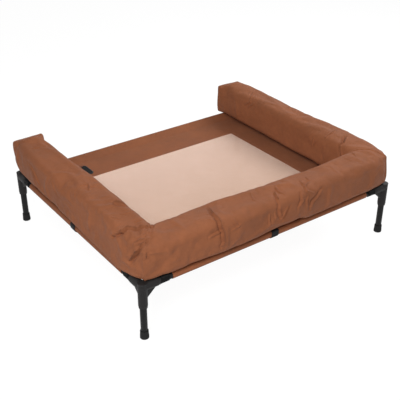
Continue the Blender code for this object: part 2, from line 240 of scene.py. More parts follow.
def node(tree, kind, inputs=None, **settings):
    """Adds a shader node. An input is a number, a colour, or a socket to link from."""
    made = tree.nodes.new("ShaderNode" + kind)
    for setting, value in settings.items():
        setattr(made, setting, value)
    for socket, given in (inputs or {}).items():
        fill(tree, made.inputs[socket], given)
    return made


def maths(tree, operation, *given):
    return node(tree, "Math", dict(enumerate(given)), operation=operation).outputs[0]


def noise_of(tree, vector, scale, detail=2.0, roughness=0.5):
    inputs = {"Vector": vector, "Scale": scale, "Detail": detail, "Roughness": roughness}
    return node(tree, "TexNoise", inputs).outputs["Fac"]


def spread(tree, value, low, high, to_low=0.0, to_high=1.0):
    """Stretches a value from one range to another, and keeps it inside."""
    inputs = {"Value": value, "From Min": low, "From Max": high, "To Min": to_low, "To Max": to_high}
    return node(tree, "MapRange", inputs).outputs["Result"]


def blended(tree, share, first, second, blend="MIX"):
    return node(tree, "Mix", {0: share, 6: first, 7: second}, data_type="RGBA", blend_type=blend).outputs[2]


def group_of(name, outputs, **inputs):
    """An empty shader group that takes a place and some numbers, and gives values."""
    tree = bpy.data.node_groups.new(name, "ShaderNodeTree")
    tree.interface.new_socket(name="Vector", in_out="INPUT", socket_type="NodeSocketVector")
    for label, start in inputs.items():
        socket = tree.interface.new_socket(name=label, in_out="INPUT", socket_type="NodeSocketFloat")
        socket.default_value = start
    for label in outputs:
        tree.interface.new_socket(name=label, in_out="OUTPUT", socket_type="NodeSocketFloat")
    return tree, tree.nodes.new("NodeGroupInput").outputs, tree.nodes.new("NodeGroupOutput").inputs


def plain_weave():
    """Threads that cross over and under: the height of the cloth, and a shade for each thread."""
    tree, given, out = group_of("plain weave", ("Height", "Shade"), Pitch=0.001)
    turns = []
    for part in node(tree, "SeparateXYZ", {0: given["Vector"]}).outputs[:2]:
        turn = maths(tree, "MULTIPLY", maths(tree, "DIVIDE", part, given["Pitch"]), pi)
        turns.append(maths(tree, "SINE", turn))
    warp, weft = (maths(tree, "ABSOLUTE", turn) for turn in turns)
    over = maths(tree, "GREATER_THAN", maths(tree, "MULTIPLY", *turns), 0.0)
    height = maths(tree, "MULTIPLY_ADD", over, maths(tree, "SUBTRACT", warp, weft), weft)
    fill(tree, out["Height"], height)
    fill(tree, out["Shade"], maths(tree, "MULTIPLY", height, noise_of(tree, given["Vector"], 900.0, 1.0)))
    return tree


def mottle():
    """Soft uneven patches, as a share from 0 to 1."""
    tree, given, out = group_of("mottle", ("Share",), Scale=8.0, Fine=60.0)
    wide = maths(tree, "MULTIPLY", noise_of(tree, given["Vector"], given["Scale"], 3.0), 0.65)
    both = maths(tree, "MULTIPLY_ADD", noise_of(tree, given["Vector"], given["Fine"]), 0.35, wide)
    fill(tree, out["Share"], spread(tree, both, 0.35, 0.65))
    return tree


def edge_wear():
    """Where an edge stands out and gets rubbed, broken up by noise."""
    tree, given, out = group_of("edge wear", ("Mask",), Amount=0.5)
    edge = spread(tree, node(tree, "NewGeometry").outputs["Pointiness"], 0.52, 0.62)
    broken = spread(tree, noise_of(tree, given["Vector"], 260.0, 4.0, 0.7), 0.45, 0.65)
    rubbed = maths(tree, "MULTIPLY", edge, broken)
    fill(tree, out["Mask"], maths(tree, "MULTIPLY", rubbed, given["Amount"]))
    return tree


def moulded_grain():
    """The fine spark texture of moulded plastic and rubber, with a few faint scuffs."""
    tree, given, out = group_of("moulded grain", ("Height", "Scuff"), Scale=1400.0)
    fill(tree, out["Height"], noise_of(tree, given["Vector"], given["Scale"], 2.0, 0.6))
    stretched = node(tree, "Mapping", {"Vector": given["Vector"], "Scale": (1.0, 1.0, 0.15)}).outputs[0]
    fill(tree, out["Scuff"], spread(tree, noise_of(tree, stretched, 420.0, 5.0, 0.7), 0.60, 0.72))
    return tree


WEAVE, MOTTLE, WEAR, GRAIN = plain_weave(), mottle(), edge_wear(), moulded_grain()


def placed(tree, group, **values):
    """A group's node in a material, with its own values."""
    return node(tree, "Group", values, node_tree=group).outputs


def to_shader(tree, **given):
    """Fills sockets of the material's Principled shader."""
    for label, value in given.items():
        fill(tree, tree.nodes["Principled BSDF"].inputs[label.replace("_", " ")], value)


def new_finish(name, **plain):
    """A material with its Principled shader, and the plain values set on the shader's own sockets."""
    material = bpy.data.materials.new(name)
    material.use_nodes = True
    to_shader(material.node_tree, **plain)
    return material, material.node_tree


def bump(tree, height, distance, **before):
    inputs = {"Height": height, "Distance": distance, "Strength": 1.0, **before}
    return node(tree, "Bump", inputs).outputs["Normal"]


def cloth_uv(tree):
    return node(tree, "UVMap", uv_map="cloth").outputs["UV"]


def own_place(tree):
    return node(tree, "TexCoord").outputs["Object"]


def shaded(colour, share):
    return tuple(share * part for part in colour)


def brown_cover(name, wrinkle, folded=0.0):
    """Close-woven polyester canvas, uneven from thread to thread, with painted shade where it is folded in.
    """
    material, tree = new_finish(name, Sheen_Weight=0.03, Sheen_Roughness=0.5, Specular_IOR_Level=0.15)
    weave = placed(tree, WEAVE, Vector=cloth_uv(tree), Pitch=0.0008)
    patches = placed(tree, MOTTLE, Vector=own_place(tree), Scale=9.0, Fine=70.0)["Share"]
    uneven = blended(tree, patches, shaded(COVER_BROWN, 0.86), shaded(COVER_BROWN, 1.10))
    threads = spread(tree, weave["Shade"], 0.1, 0.6, 0.90, 1.08)
    grey = node(tree, "CombineColor", dict.fromkeys(range(3), threads)).outputs[0]
    woven = blended(tree, 1.0, uneven, grey, "MULTIPLY")
    # Painted shade: along the creases that the point attribute marks, the colour is blended towards a quarter
    # of the brown
    if folded:
        fold_shade = maths(tree, "MULTIPLY", node(tree, "Attribute", attribute_name="fold_shade").outputs["Fac"], folded)
        woven = blended(tree, fold_shade, woven, shaded(COVER_BROWN, 0.25))
    folds = bump(tree, noise_of(tree, own_place(tree), 42.0, 4.0, 0.55), wrinkle)
    to_shader(
        tree,
        Base_Color=woven,
        Roughness=spread(tree, patches, 0.0, 1.0, 0.66, 0.78),
        Normal=bump(tree, weave["Height"], 0.00012, Normal=folds),
    )
    return material


def see_through_mesh():
    """Open-woven pale mesh: round coated threads with small square holes between them, with painted light
    that makes it paler towards the rear.
    """
    material, tree = new_finish("pale open mesh", Roughness=0.6, Specular_IOR_Level=0.3, Sheen_Weight=0.08)
    pitch, hole = 0.0024, 0.173
    distances = []
    for part in node(tree, "SeparateXYZ", {0: cloth_uv(tree)}).outputs[:2]:
        share = maths(tree, "FRACT", maths(tree, "DIVIDE", part, pitch))
        distances.append(maths(tree, "ABSOLUTE", maths(tree, "SUBTRACT", share, 0.5)))
    open_both = maths(tree, "MAXIMUM", *distances)
    patches = placed(tree, MOTTLE, Vector=own_place(tree), Scale=5.0, Fine=40.0)["Share"]
    # Painted light: the colour runs from a shaded front to a lit rear along Y, with random patches added
    rearward = node(tree, "SeparateXYZ", {0: own_place(tree)}).outputs[1]
    painted_rear_light = spread(tree, rearward, -MESH_HALF_Y, MESH_HALF_Y, -0.12, 0.88)
    to_shader(
        tree,
        Alpha=maths(tree, "GREATER_THAN", open_both, hole),
        Base_Color=blended(tree, maths(tree, "MULTIPLY_ADD", patches, 0.24, painted_rear_light), MESH_SHADED_FRONT, MESH_LIT_REAR),
        Normal=bump(tree, spread(tree, open_both, hole, 0.5), 0.0002),
    )
    return material


def black_webbing():
    """Nylon tape with fine ribs across it."""
    material, tree = new_finish("black webbing", Specular_IOR_Level=0.10)
    along = node(tree, "SeparateXYZ", {0: cloth_uv(tree)}).outputs[1]
    ribs = maths(tree, "ABSOLUTE", maths(tree, "SINE", maths(tree, "MULTIPLY", along, pi / 0.0014)))
    weave = placed(tree, WEAVE, Vector=cloth_uv(tree), Pitch=0.0007)["Height"]
    to_shader(
        tree,
        Base_Color=blended(tree, ribs, (0.005, 0.005, 0.005), (0.014, 0.014, 0.015)),
        Roughness=spread(tree, ribs, 0.0, 1.0, 0.85, 0.62),
        Normal=bump(tree, maths(tree, "MULTIPLY_ADD", weave, 0.3, ribs), 0.00025),
    )
    return material


def hard_black(name, base, worn, roughness, grain, depth, wear, gloss):
    """A dark moulded or coated finish: fine grain, faint scuffs, and paler rubbed edges."""
    material, tree = new_finish(name, Specular_IOR_Level=gloss)
    place = own_place(tree)
    texture = placed(tree, GRAIN, Vector=place, Scale=grain)
    rubbed = placed(tree, WEAR, Vector=place, Amount=wear)["Mask"]
    marks = maths(tree, "MAXIMUM", rubbed, maths(tree, "MULTIPLY", texture["Scuff"], 0.25 * wear))
    patches = placed(tree, MOTTLE, Vector=place, Scale=20.0, Fine=200.0)["Share"]
    uneven = blended(tree, patches, shaded(base, 0.85), shaded(base, 1.12))
    rough = spread(tree, patches, 0.0, 1.0, roughness - 0.05, roughness + 0.05)
    to_shader(
        tree,
        Base_Color=blended(tree, marks, uneven, worn),
        Roughness=maths(tree, "MULTIPLY_ADD", marks, 0.18, rough),
        Normal=bump(tree, texture["Height"], depth),
    )
    return material


def sewing_thread(name, base):
    """Twisted thread: fine slanting strands."""
    material, tree = new_finish(name, Roughness=0.6, Sheen_Weight=0.1)
    slants = {"Vector": own_place(tree), "Scale": 520.0, "Distortion": 1.5}
    wave = node(tree, "TexWave", slants, bands_direction="DIAGONAL").outputs["Fac"]
    to_shader(tree, Base_Color=blended(tree, wave, shaded(base, 0.7), base), Normal=bump(tree, wave, 0.0001))
    return material


COVER_BROWN = (0.272, 0.094, 0.0405)
# The mesh's colours at its front and rear: painted shade at the front and painted light at the rear, blended
# between
MESH_SHADED_FRONT = (0.628, 0.405, 0.290)
MESH_LIT_REAR = (0.840, 0.585, 0.466)
MOULDED_BLACK = (0.017, 0.0155, 0.0155)
DEEP_BLACK = (0.0115, 0.0115, 0.0115)
# The bolster's canvas carries painted shade in its creases, at half strength
BOLSTER_CLOTH = brown_cover("bolster canvas", 0.0026, folded=0.5)
DECK_CLOTH = brown_cover("deck canvas", 0.0008)
MESH_CLOTH = see_through_mesh()
WEBBING = black_webbing()
# Hard finishes: colour, colour of worn edges, roughness, scale and depth of the grain, wear, gloss
PLASTIC = hard_black(
    "moulded corner plastic", MOULDED_BLACK, (0.060, 0.056, 0.055), 0.50, 1500.0, 0.00008, 0.7, 0.16
)
COATED_STEEL = hard_black("coated steel", DEEP_BLACK, (0.045, 0.044, 0.043), 0.46, 800.0, 0.00005, 0.5, 0.13)
RUBBER = hard_black("foot rubber", DEEP_BLACK, (0.040, 0.039, 0.038), 0.74, 1100.0, 0.00008, 0.5, 0.20)
BROWN_THREAD = sewing_thread("brown thread", (0.290, 0.115, 0.060))
BLACK_THREAD = sewing_thread("black thread", (0.030, 0.030, 0.032))


# Frame: posts, rails, feet and corners


def tube(name, length, place):
    """An open steel tube along its own Z axis, with its rims eased."""
    deselect()
    bpy.ops.mesh.primitive_cylinder_add(vertices=48, radius=TUBE_R, depth=length)
    piece = name_it(name)
    start_shaping(piece)
    pick_faces(piece, lambda middle, facing: abs(facing.z) > 0.9)
    bpy.ops.mesh.inset(thickness=TUBE_WALL)
    bpy.ops.mesh.delete(type="FACE")
    pick(piece, "EDGE", lambda edge: edge.is_boundary)
    bpy.ops.mesh.bridge_edge_loops()
    face_out()
    ease_edges(piece, 0.0003)
    piece.data.transform(place)
    smooth(piece)
    return piece


def make_tubes():
    for corner, (x, y, _) in CORNERS.items():
        place = Matrix.Translation((x * LEG_X, y * LEG_Y, (LEG_TOP_Z + LEG_FOOT_Z) / 2))
        post = tube("post_" + corner, LEG_TOP_Z - LEG_FOOT_Z, place)
        dress(post, COATED_STEEL, "leg_" + corner, "tube_coating", "leg_tube_" + corner)
    for side, (_, half, _) in SIDES.items():
        rail = tube("rail_bar_" + side, 2 * (half - RAIL_STOP - GAP), side_place(side))
        dress(rail, COATED_STEEL, "frame", "tube_coating", "rail_" + side)


def foot_cap():
    """A rubber cup for the post: it flares to the floor, with a rounded lip and a ringed sole."""
    lip_r, sole_r, bore_r, height, floor = 0.0116, 0.0124, 0.0098, 0.025, 0.005
    before, level = sole_r - 0.0022, 0.0
    rise = (
        (sole_r, 0.0012), (sole_r, 0.0050), (sole_r - 0.0001, 0.0090), (lip_r, 0.0150),
        (lip_r, height - 0.0012), (lip_r - 0.0005, height), (bore_r, height), (bore_r, floor),
    )
    deselect()
    bpy.ops.mesh.primitive_circle_add(vertices=48, radius=before, fill_type="NGON")
    piece = name_it("foot_cap")
    start_shaping(piece)
    pick_all()
    for radius, upto in rise:
        bpy.ops.mesh.extrude_region_move(TRANSFORM_OT_translate={"value": (0.0, 0.0, upto - level)})
        bpy.ops.transform.resize(value=(radius / before, radius / before, 1.0))
        before, level = radius, upto
    pick_points(piece, lambda point: point.z < 0.0001)
    bpy.ops.mesh.edge_face_add()
    pick_faces(piece, lambda middle, facing: middle.z < 0.0001 and abs(facing.z) > 0.9)
    for step in (-0.0008, 0.0008, -0.0008):
        bpy.ops.mesh.inset(thickness=0.0018)
        bpy.ops.mesh.inset(thickness=0.0003, depth=step)
    pick_all()
    bpy.ops.mesh.remove_doubles(threshold=0.00001)
    face_out()
    ease_edges(piece, 0.0004, degrees=38)
    return piece


def make_feet():
    pattern = foot_cap()
    for corner, (x, y, _) in CORNERS.items():
        foot = copied(pattern, "foot_cap_" + corner, Matrix.Translation((x * LEG_X, y * LEG_Y, 0.0)))
        smooth(foot)
        dress(foot, RUBBER, "leg_" + corner, "foot_rubber", "foot_" + corner)
    remove(pattern)


def rod(name, radius, start, end, upright):
    """A plain round bar between two distances along +Z or +X, for joining or cutting."""
    deselect()
    middle = (start + end) / 2
    place = (0.0, 0.0, middle) if upright else (middle, 0.0, RAIL_Z)
    turn = (0.0, 0.0 if upright else pi / 2, 0.0)
    bpy.ops.mesh.primitive_cylinder_add(
        vertices=64, radius=radius, depth=end - start, location=place, rotation=turn
    )
    piece = name_it(name)
    settle(piece)
    return piece


def rimmed_socket(name, start, end, upright):
    """A socket's outside: a bar whose mouth carries a raised rim."""
    piece = rod(name, ARM_R, start, end, upright)
    axis, mouth, normal = (2, start, Vector((0, 0, 1))) if upright else (0, end, Vector((1, 0, 0)))
    cut = normal * (mouth + (RIM_WIDTH if upright else -RIM_WIDTH))
    start_shaping(piece)
    pick_all()
    bpy.ops.mesh.bisect(plane_co=cut, plane_no=normal)
    pick_faces(
        piece, lambda middle, facing: abs(facing[axis]) < 0.1 and abs(middle[axis] - mouth) < RIM_WIDTH
    )
    bpy.ops.mesh.extrude_region_shrink_fatten(TRANSFORM_OT_shrink_fatten={"value": -(RIM_R - ARM_R)})
    stop_shaping()
    ease_edges(piece, 0.0003, 1, 60)
    return piece


def web():
    """The slanted gusset under an arm, from a block whose lower outer edge is drawn in."""
    low, high = 0.128, RAIL_Z - 0.008
    near, far = 0.008, ARM_REACH - RIM_WIDTH
    deselect()
    bpy.ops.mesh.primitive_cube_add(
        size=1.0, location=((near + far) / 2, 0.0, (low + high) / 2), scale=(far - near, 0.008, high - low)
    )
    piece = name_it("web")
    settle(piece)
    start_shaping(piece)
    pick_points(piece, lambda point: point.x > far - 0.001 and point.z < low + 0.001)
    bpy.ops.transform.translate(value=(RIM_R - far, 0.0, 0.0))
    # Doubled, so that this edge, which is inside the arm, stays square
    pick_points(piece, lambda point: point.x > far - 0.001 and point.z > high - 0.001)
    bpy.ops.mesh.extrude_edges_move(TRANSFORM_OT_translate={"value": (0.0, 0.0, 0.0)})
    stop_shaping()
    ease_edges(piece, 0.0012, 3, 30)
    return piece


def join_with(piece, other, operation):
    apply(piece, "BOOLEAN", object=other, operation=operation, solver="EXACT")
    remove(other)


def corner_fitting():
    """One moulded corner: an upright leg socket, two level arms at a right angle and a web under each."""
    body = rimmed_socket("corner_fitting", SOCKET_MOUTH_Z, FRAME_TOP, True)
    start_shaping(body)
    pick_faces(body, lambda middle, facing: facing.z > 0.9 and middle.z > FRAME_TOP - 0.001)
    bpy.ops.mesh.bevel(offset=0.0022, segments=3, affect="EDGES")
    stop_shaping()
    turns = [Matrix.Rotation(turn, 4, "Z") for turn in (0.0, pi / 2)]
    for turn in turns:
        for part in (rimmed_socket("arm", 0.0, ARM_REACH, False), web()):
            part.data.transform(turn)
            join_with(body, part, "UNION")
    # The mould's fillets: remeshed into one skin, eased, and thinned again
    apply(body, "REMESH", mode="VOXEL", voxel_size=0.0007)
    apply(body, "SMOOTH", factor=0.5, iterations=5)
    apply(body, "DECIMATE", ratio=0.45)
    for turn in turns:
        bore = rod("bore", TUBE_R + GAP, RAIL_STOP, ARM_REACH + 0.01, False)
        bore.data.transform(turn)
        join_with(body, bore, "DIFFERENCE")
    join_with(body, rod("bore", TUBE_R + GAP, SOCKET_MOUTH_Z - 0.01, LEG_TOP_Z + GAP, True), "DIFFERENCE")
    return body


def make_corners():
    pattern = corner_fitting()
    for corner, (x, y, turn) in CORNERS.items():
        place = Matrix.Translation((x * LEG_X, y * LEG_Y, 0.0)) @ Matrix.Rotation(turn, 4, "Z")
        fitting = copied(pattern, "corner_fitting_" + corner, place)
        smooth(fitting, 40)
        dress(fitting, PLASTIC, "frame", "connector_plastic", "corner_connector_" + corner)
    remove(pattern)


# Cloth deck: four covers folded round the rails, and the mesh between them


def mesh_piece(name, points, faces, uv=None):
    """A piece from points and faces, with its cloth coordinates in metres on each point."""
    mesh = bpy.data.meshes.new(name)
    mesh.from_pydata([tuple(p) for p in points], [], [tuple(f) for f in faces])
    if uv is not None:
        corners = np.zeros(len(mesh.loops), np.int32)
        mesh.loops.foreach_get("vertex_index", corners)
        mesh.uv_layers.new(name="cloth").data.foreach_set("uv", np.asarray(uv, np.float32)[corners].ravel())
    return new_thing(name, mesh)


def grid_faces(rows, columns, around=False):
    faces = []
    for row in range(rows - 1):
        for column in range(columns if around else columns - 1):
            a, b = row * columns + column, row * columns + (column + 1) % columns
            faces.append((a, b, b + columns, a + columns))
    return faces


def mesh_edge(side):
    """How far the mesh's edge lies inwards from a side's rail."""
    return SIDES[side][2] - (MESH_HALF_Y if side in ("front", "rear") else MESH_HALF_X)


def cover_profile(side):
    """The folded cloth across a rail: from its hem under the mesh edge, round the rail, to its hem below."""
    radius, layer, edge = 0.0104, 0.00062, LEG_Y - MESH_HALF_Y
    lean = asin((radius - layer) / STITCH_LINE)
    to_rail = (radius * sin(lean) - STITCH_LINE, radius * cos(lean) - layer)
    shares = np.linspace(0.04, 0.97, 9)
    hem = ((-0.012, -0.0013), (-0.004, -0.0013), (-0.0006, -0.0012), (0.0, -0.0004), (-0.0006, layer))
    path = [(edge + x, y) for x, y in hem]
    path += [(x, layer) for x in np.linspace(edge - 0.004, STITCH_LINE + 0.001, 19)]
    path += [(STITCH_LINE + share * to_rail[0], layer + share * to_rail[1]) for share in shares]
    for angle in np.linspace(pi / 2 - lean, 3 * pi / 2 + lean, 17):
        path.append((radius * cos(angle), radius * sin(angle)))
    path += [(STITCH_LINE + share * to_rail[0], -layer - share * to_rail[1]) for share in shares[::-1]]
    path += [(STITCH_LINE + 0.001, -layer - 0.0001), (STITCH_LINE + 0.004, -layer - 0.0001)]
    wider = mesh_edge(side) - edge
    return [(x + wider * min(1.0, max(0.0, (x - STITCH_LINE) / (edge - STITCH_LINE))), y) for x, y in path]


def half_length(side, inward):
    """Half the cover's length along its rail, at a distance inwards from it: mitred beside the mesh."""
    _, half, distance = SIDES[side]
    order = 1 if side in ("front", "rear") else -1
    cut_along, cut_away = BORDER_CUT[::order]
    mesh_along, mesh_away = (MESH_HALF_X, MESH_HALF_Y)[::order]
    sleeve_half = half - (REAR_SLEEVE_START if side == "rear" else SLEEVE_START)
    away = (mesh_away, cut_away, distance - STITCH_LINE - GAP)
    return float(np.interp(distance - inward, away, (mesh_along + GAP, cut_along, sleeve_half)))


def make_cover(side):
    """One side of the deck's cover, as one length of cloth with a little slack and pulled corners."""
    path = cover_profile(side)
    lengths = run_lengths(path).tolist()
    halves = [half_length(side, x) for x, _ in path]
    columns = 2 * round(max(halves) / 0.0055) + 1
    points, uv = [], []
    for i, (x, y) in enumerate(path):
        before, after = path[max(0, i - 1)], path[min(len(path) - 1, i + 1)]
        run = Vector((after[0] - before[0], after[1] - before[1])).normalized()
        for share in np.linspace(-1.0, 1.0, columns):
            along = share * halves[i]
            pushed = Vector((x, y)) + Vector((run.y, -run.x)) * cover_ripple(side, x, y, along, halves[i])
            points.append(side_place(side) @ Vector((pushed.x, pushed.y, along)))
            uv.append((along, lengths[i]))
    piece = mesh_piece("deck_cover_" + side, points, grid_faces(len(path), columns), uv)
    start_shaping(piece)
    face_out()
    apply(piece, "SOLIDIFY", thickness=0.0011, offset=0.0)
    smooth(piece, 50)
    dress(piece, DECK_CLOTH, "frame", "deck_cover", "rail_sleeve_" + side, "border_" + side)


def cover_ripple(side, inward, height, along, half):
    """How far the cover stands off its plain fold: short puckers at the seams, long pulls at corners."""
    hem = mesh_edge(side) - 0.006
    on_border = STITCH_LINE + 0.001 < inward < hem
    if height <= 0 or not (on_border or TUBE_R * 0.6 < inward <= STITCH_LINE):
        return 0.0
    seed = 10.0 * list(SIDES).index(side)
    from_seam = min(abs(inward - STITCH_LINE), abs(hem - inward))
    pucker = noise_at((along * 70.0, inward * 12.0, seed))
    ripple = 0.0007 * pucker * min(1.0, from_seam / 0.004) * exp(-from_seam / 0.016)
    if on_border:
        from_end = max(0.0, half - abs(along))
        pull = noise_at(((abs(along) - inward) * 85.0, (from_end + inward) * 9.0, seed + 3))
        ripple += 0.0024 * pull * exp(-from_end / 0.055) * min(1.0, from_seam / 0.010)
        sag = noise_at((along * 9.0, inward * 16.0, seed + 7))
        ripple += 0.0012 * sag * min(1.0, from_seam / 0.02)
    return ripple


def make_mesh_cloth():
    """The see-through panel, pulled flat, with its edge held between the layers of the covers' hems."""
    half_x, half_y = MESH_HALF_X + 0.007, MESH_HALF_Y + 0.007
    across, along = 111, 83
    points = []
    for y in np.linspace(-half_y, half_y, along):
        for x in np.linspace(-half_x, half_x, across):
            inside = min(MESH_HALF_X - abs(x), MESH_HALF_Y - abs(y))
            sag = -0.0022 * (1 - (x / MESH_HALF_X) ** 2) * (1 - (y / MESH_HALF_Y) ** 2)
            pull = 0.0006 * noise_at((x * 14, y * 14, 2.0)) * min(1.0, inside / 0.03)
            points.append((x, y, RAIL_Z - 0.0003 + (sag + pull if inside > 0 else 0.0)))
    piece = mesh_piece("mesh_cloth", points, grid_faces(along, across), [point[:2] for point in points])
    apply(piece, "SOLIDIFY", thickness=0.0003, offset=0.0)
    smooth(piece, 50)
    dress(piece, MESH_CLOTH, "frame", "mesh_cloth", "mesh_panel")


def thread_bead(name, radius, scale):
    """One short rounded length of thread."""
    deselect()
    bpy.ops.mesh.primitive_uv_sphere_add(segments=6, ring_count=4, radius=radius)
    bead = name_it(name)
    bead.scale = scale
    settle(bead)
    return bead


def stitch_row(start, end, pitch):
    """A straight row of stitches between two points."""
    run = end - start
    count = round(run.length / pitch)
    row = thread_bead("stitch_row", 0.00035, (1.0, 0.9, 0.36 * pitch / 0.00035))
    offset = {"use_relative_offset": False, "use_constant_offset": True}
    apply(row, "ARRAY", count=count, constant_offset_displace=(0.0, 0.0, run.length / count), **offset)
    turn = run.to_track_quat("Z", "Y").to_matrix().to_4x4()
    row.data.transform(Matrix.Translation(start + run / (2 * count)) @ turn)
    return row


def joined(name, parts):
    take(parts[0])
    for part in parts[1:]:
        part.select_set(True)
    bpy.ops.object.join()
    return name_it(name)


def make_deck_stitches():
    """The seam along each sleeve, and the two seams that hold the mesh in its hem."""
    for side in SIDES:
        rows = []
        for inward in (STITCH_LINE + 0.003, mesh_edge(side) - 0.0022, mesh_edge(side) - 0.0085):
            reach = half_length(side, inward) - 0.003
            ends = [side_place(side) @ Vector((inward, 0.00125, along)) for along in (-reach, reach)]
            rows.append(stitch_row(*ends, 0.0036))
        thread = joined("deck_stitches_" + side, rows)
        smooth(thread, 80)
        dress(thread, BROWN_THREAD, "frame", "deck_cover")


# Straps and patch


def lay_uv(piece, where):
    """Cloth coordinates for each corner of each face, from its point and its face's middle."""
    layer = piece.data.uv_layers.get("cloth") or piece.data.uv_layers.new(name="cloth")
    for face in piece.data.polygons:
        for corner in face.loop_indices:
            point = piece.data.vertices[piece.data.loops[corner].vertex_index].co
            layer.data[corner].uv = where(point, face.center)


def webbing_loop(reach):
    """A loop of flat tape: a square of edges, rounded below to fit the rail and squared up to the bolster."""
    width, thick = 0.025, 0.0014
    deselect()
    bpy.ops.mesh.primitive_plane_add(size=2 * reach)
    piece = name_it("webbing_loop")
    start_shaping(piece)
    pick_points(piece, lambda point: point.y > 0)
    bpy.ops.transform.translate(value=(0.0, FRAME_TOP - RAIL_Z - thick / 2 - reach, 0.0))
    pick_faces(piece, lambda middle, facing: True)
    bpy.ops.mesh.delete(type="ONLY_FACE")
    pick_points(piece, lambda point: point.y < 0)
    bpy.ops.mesh.bevel(offset=reach * 0.96, segments=12, affect="VERTICES")
    pick_points(piece, lambda point: point.y > 0.002)
    bpy.ops.mesh.bevel(offset=0.0035, segments=5, affect="VERTICES")
    pick_all()
    bpy.ops.transform.translate(value=(0.0, 0.0, -width / 2))
    for _ in range(8):
        bpy.ops.mesh.extrude_edges_move(TRANSFORM_OT_translate={"value": (0.0, 0.0, width / 8)})
    face_out()
    ring = sorted({round(atan2(v.co.y, v.co.x), 6): v.co.to_2d() for v in piece.data.vertices}.items())
    angles = [angle for angle, _ in ring]
    lengths = run_lengths([place for _, place in ring])

    def along_tape(point, middle):
        angle = atan2(point.y, point.x)
        if middle.x < 0 and angle * atan2(middle.y, middle.x) < 0 and abs(angle) > 2.0:
            angle = copysign(pi, middle.y)
        return (point.z, float(np.interp(angle, angles, lengths)))

    lay_uv(piece, along_tape)
    apply(piece, "SOLIDIFY", thickness=thick, offset=0.0)
    ease_edges(piece, 0.0004)
    return piece


def make_straps():
    on_rail, on_sleeve = webbing_loop(TUBE_R + GAP + 0.0007), webbing_loop(0.0110 + GAP + 0.0007)
    # Each side: the names of its first and last strap along the rail, and where its middle strap is
    sides = {
        "front": ("left", "right", MIDDLE_STRAP_SHIFT),
        "right": ("front", "rear", MIDDLE_STRAP_SHIFT),
        "left": ("rear", "front", -MIDDLE_STRAP_SHIFT),
    }
    for side, (first, last, shift) in sides.items():
        end = SIDES[side][1] - (ARM_REACH + 0.002 + 0.0125)
        straps = ((first, -end, on_rail), ("middle", shift, on_sleeve), (last, end, on_rail))
        for where, along, pattern in straps:
            strap = copied(pattern, "webbing_%s_%s" % (side, where), side_place(side, along))
            smooth(strap, 40)
            dress(strap, WEBBING, "frame", "webbing", "strap_%s_%s" % (side, where))
    remove(on_rail)
    remove(on_sleeve)


def make_patch():
    """The bare sewn patch: a domed field of close black cloth inside an overlocked edge."""
    low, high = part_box("blank_patch")
    middle = (low + high) / 2
    size_x, size_y = high.x - low.x, high.y - low.y
    deselect()
    bpy.ops.mesh.primitive_plane_add(size=1.0, location=(middle.x, middle.y, low.z))
    patch = name_it("bare_patch")
    patch.scale = (size_x, size_y, 1.0)
    settle(patch)
    start_shaping(patch)
    pick_all()
    bpy.ops.mesh.bevel(offset=0.012, segments=8, affect="VERTICES")
    pick_all()
    bpy.ops.mesh.extrude_region_move(TRANSFORM_OT_translate={"value": (0.0, 0.0, 0.0012)})
    for thickness, depth in ((0.0026, 0.0), (0.0003, -0.0004)) + 3 * ((0.004, 0.00008),):
        bpy.ops.mesh.inset(thickness=thickness, depth=depth)
    face_out()
    ease_edges(patch, 0.0005, degrees=40)
    lay_uv(patch, lambda point, face_middle: (point.x, point.y))
    smooth(patch, 40)
    dress(patch, WEBBING, "frame", "webbing", "blank_patch")

    # The overlock: short slanting stitches side by side all the way round the rim
    inset, round_r = 0.0013, 0.0107
    flat_x, flat_y = size_x / 2 - inset - round_r, size_y / 2 - inset - round_r
    rim = []
    for number, (x, y) in enumerate(((1, 1), (-1, 1), (-1, -1), (1, -1))):
        for angle in np.radians(np.linspace(90 * number, 90 * number + 90, 9)):
            rim.append((x * flat_x + round_r * cos(angle), y * flat_y + round_r * sin(angle)))
    rim = np.array(rim + rim[:1])
    steps = run_lengths(rim)
    count = round(steps[-1] / 0.0013)
    stitch = thread_bead("stitch", 0.00055, (2.5, 1.0, 0.8))
    stitches = []
    for i in range(count):
        at = steps[-1] * (i + 0.5) / count
        here, ahead = ([float(np.interp(at + d, steps, rim[:, k])) for k in (0, 1)] for d in (0.0, 0.0005))
        heading = atan2(ahead[1] - here[1], ahead[0] - here[0]) + radians(68)
        place = Matrix.Translation((middle.x + here[0], middle.y + here[1], low.z + 0.0012))
        stitches.append(copied(stitch, "stitch_%03d" % i, place @ Matrix.Rotation(heading, 4, "Z")))
    remove(stitch)
    overlock = joined("patch_overlock", stitches)
    smooth(overlock, 80)
    dress(overlock, BLACK_THREAD, "frame", "webbing")


# Bolster: one stuffed tube in three arms, simulated whole and then parted at its mitred seams

SECTION = (
    (-0.14, 0.00), (0.24, 0.00), (0.40, 0.03), (0.51, 0.28), (0.53, 0.60), (0.42, 0.93),
    (0.14, 1.03), (-0.14, 1.03), (-0.42, 0.93), (-0.51, 0.60), (-0.53, 0.16), (-0.47, 0.00),
)
# The left arm's lower edge where it hangs outside its rail
HANGING_SECTION = ((-0.14, 0.00), (0.24, 0.00), (0.48, -0.02), (0.54, -0.02), (0.54, 0.22)) + SECTION[4:]
# The right arm's inner side, which shows in the photo, leans back more
RIGHT_SECTION = SECTION[:7] + (
    (-0.12, 1.03), (-0.32, 0.97), (-0.45, 0.76), (-0.52, 0.46), (-0.53, 0.19), (-0.43, 0.00),
)
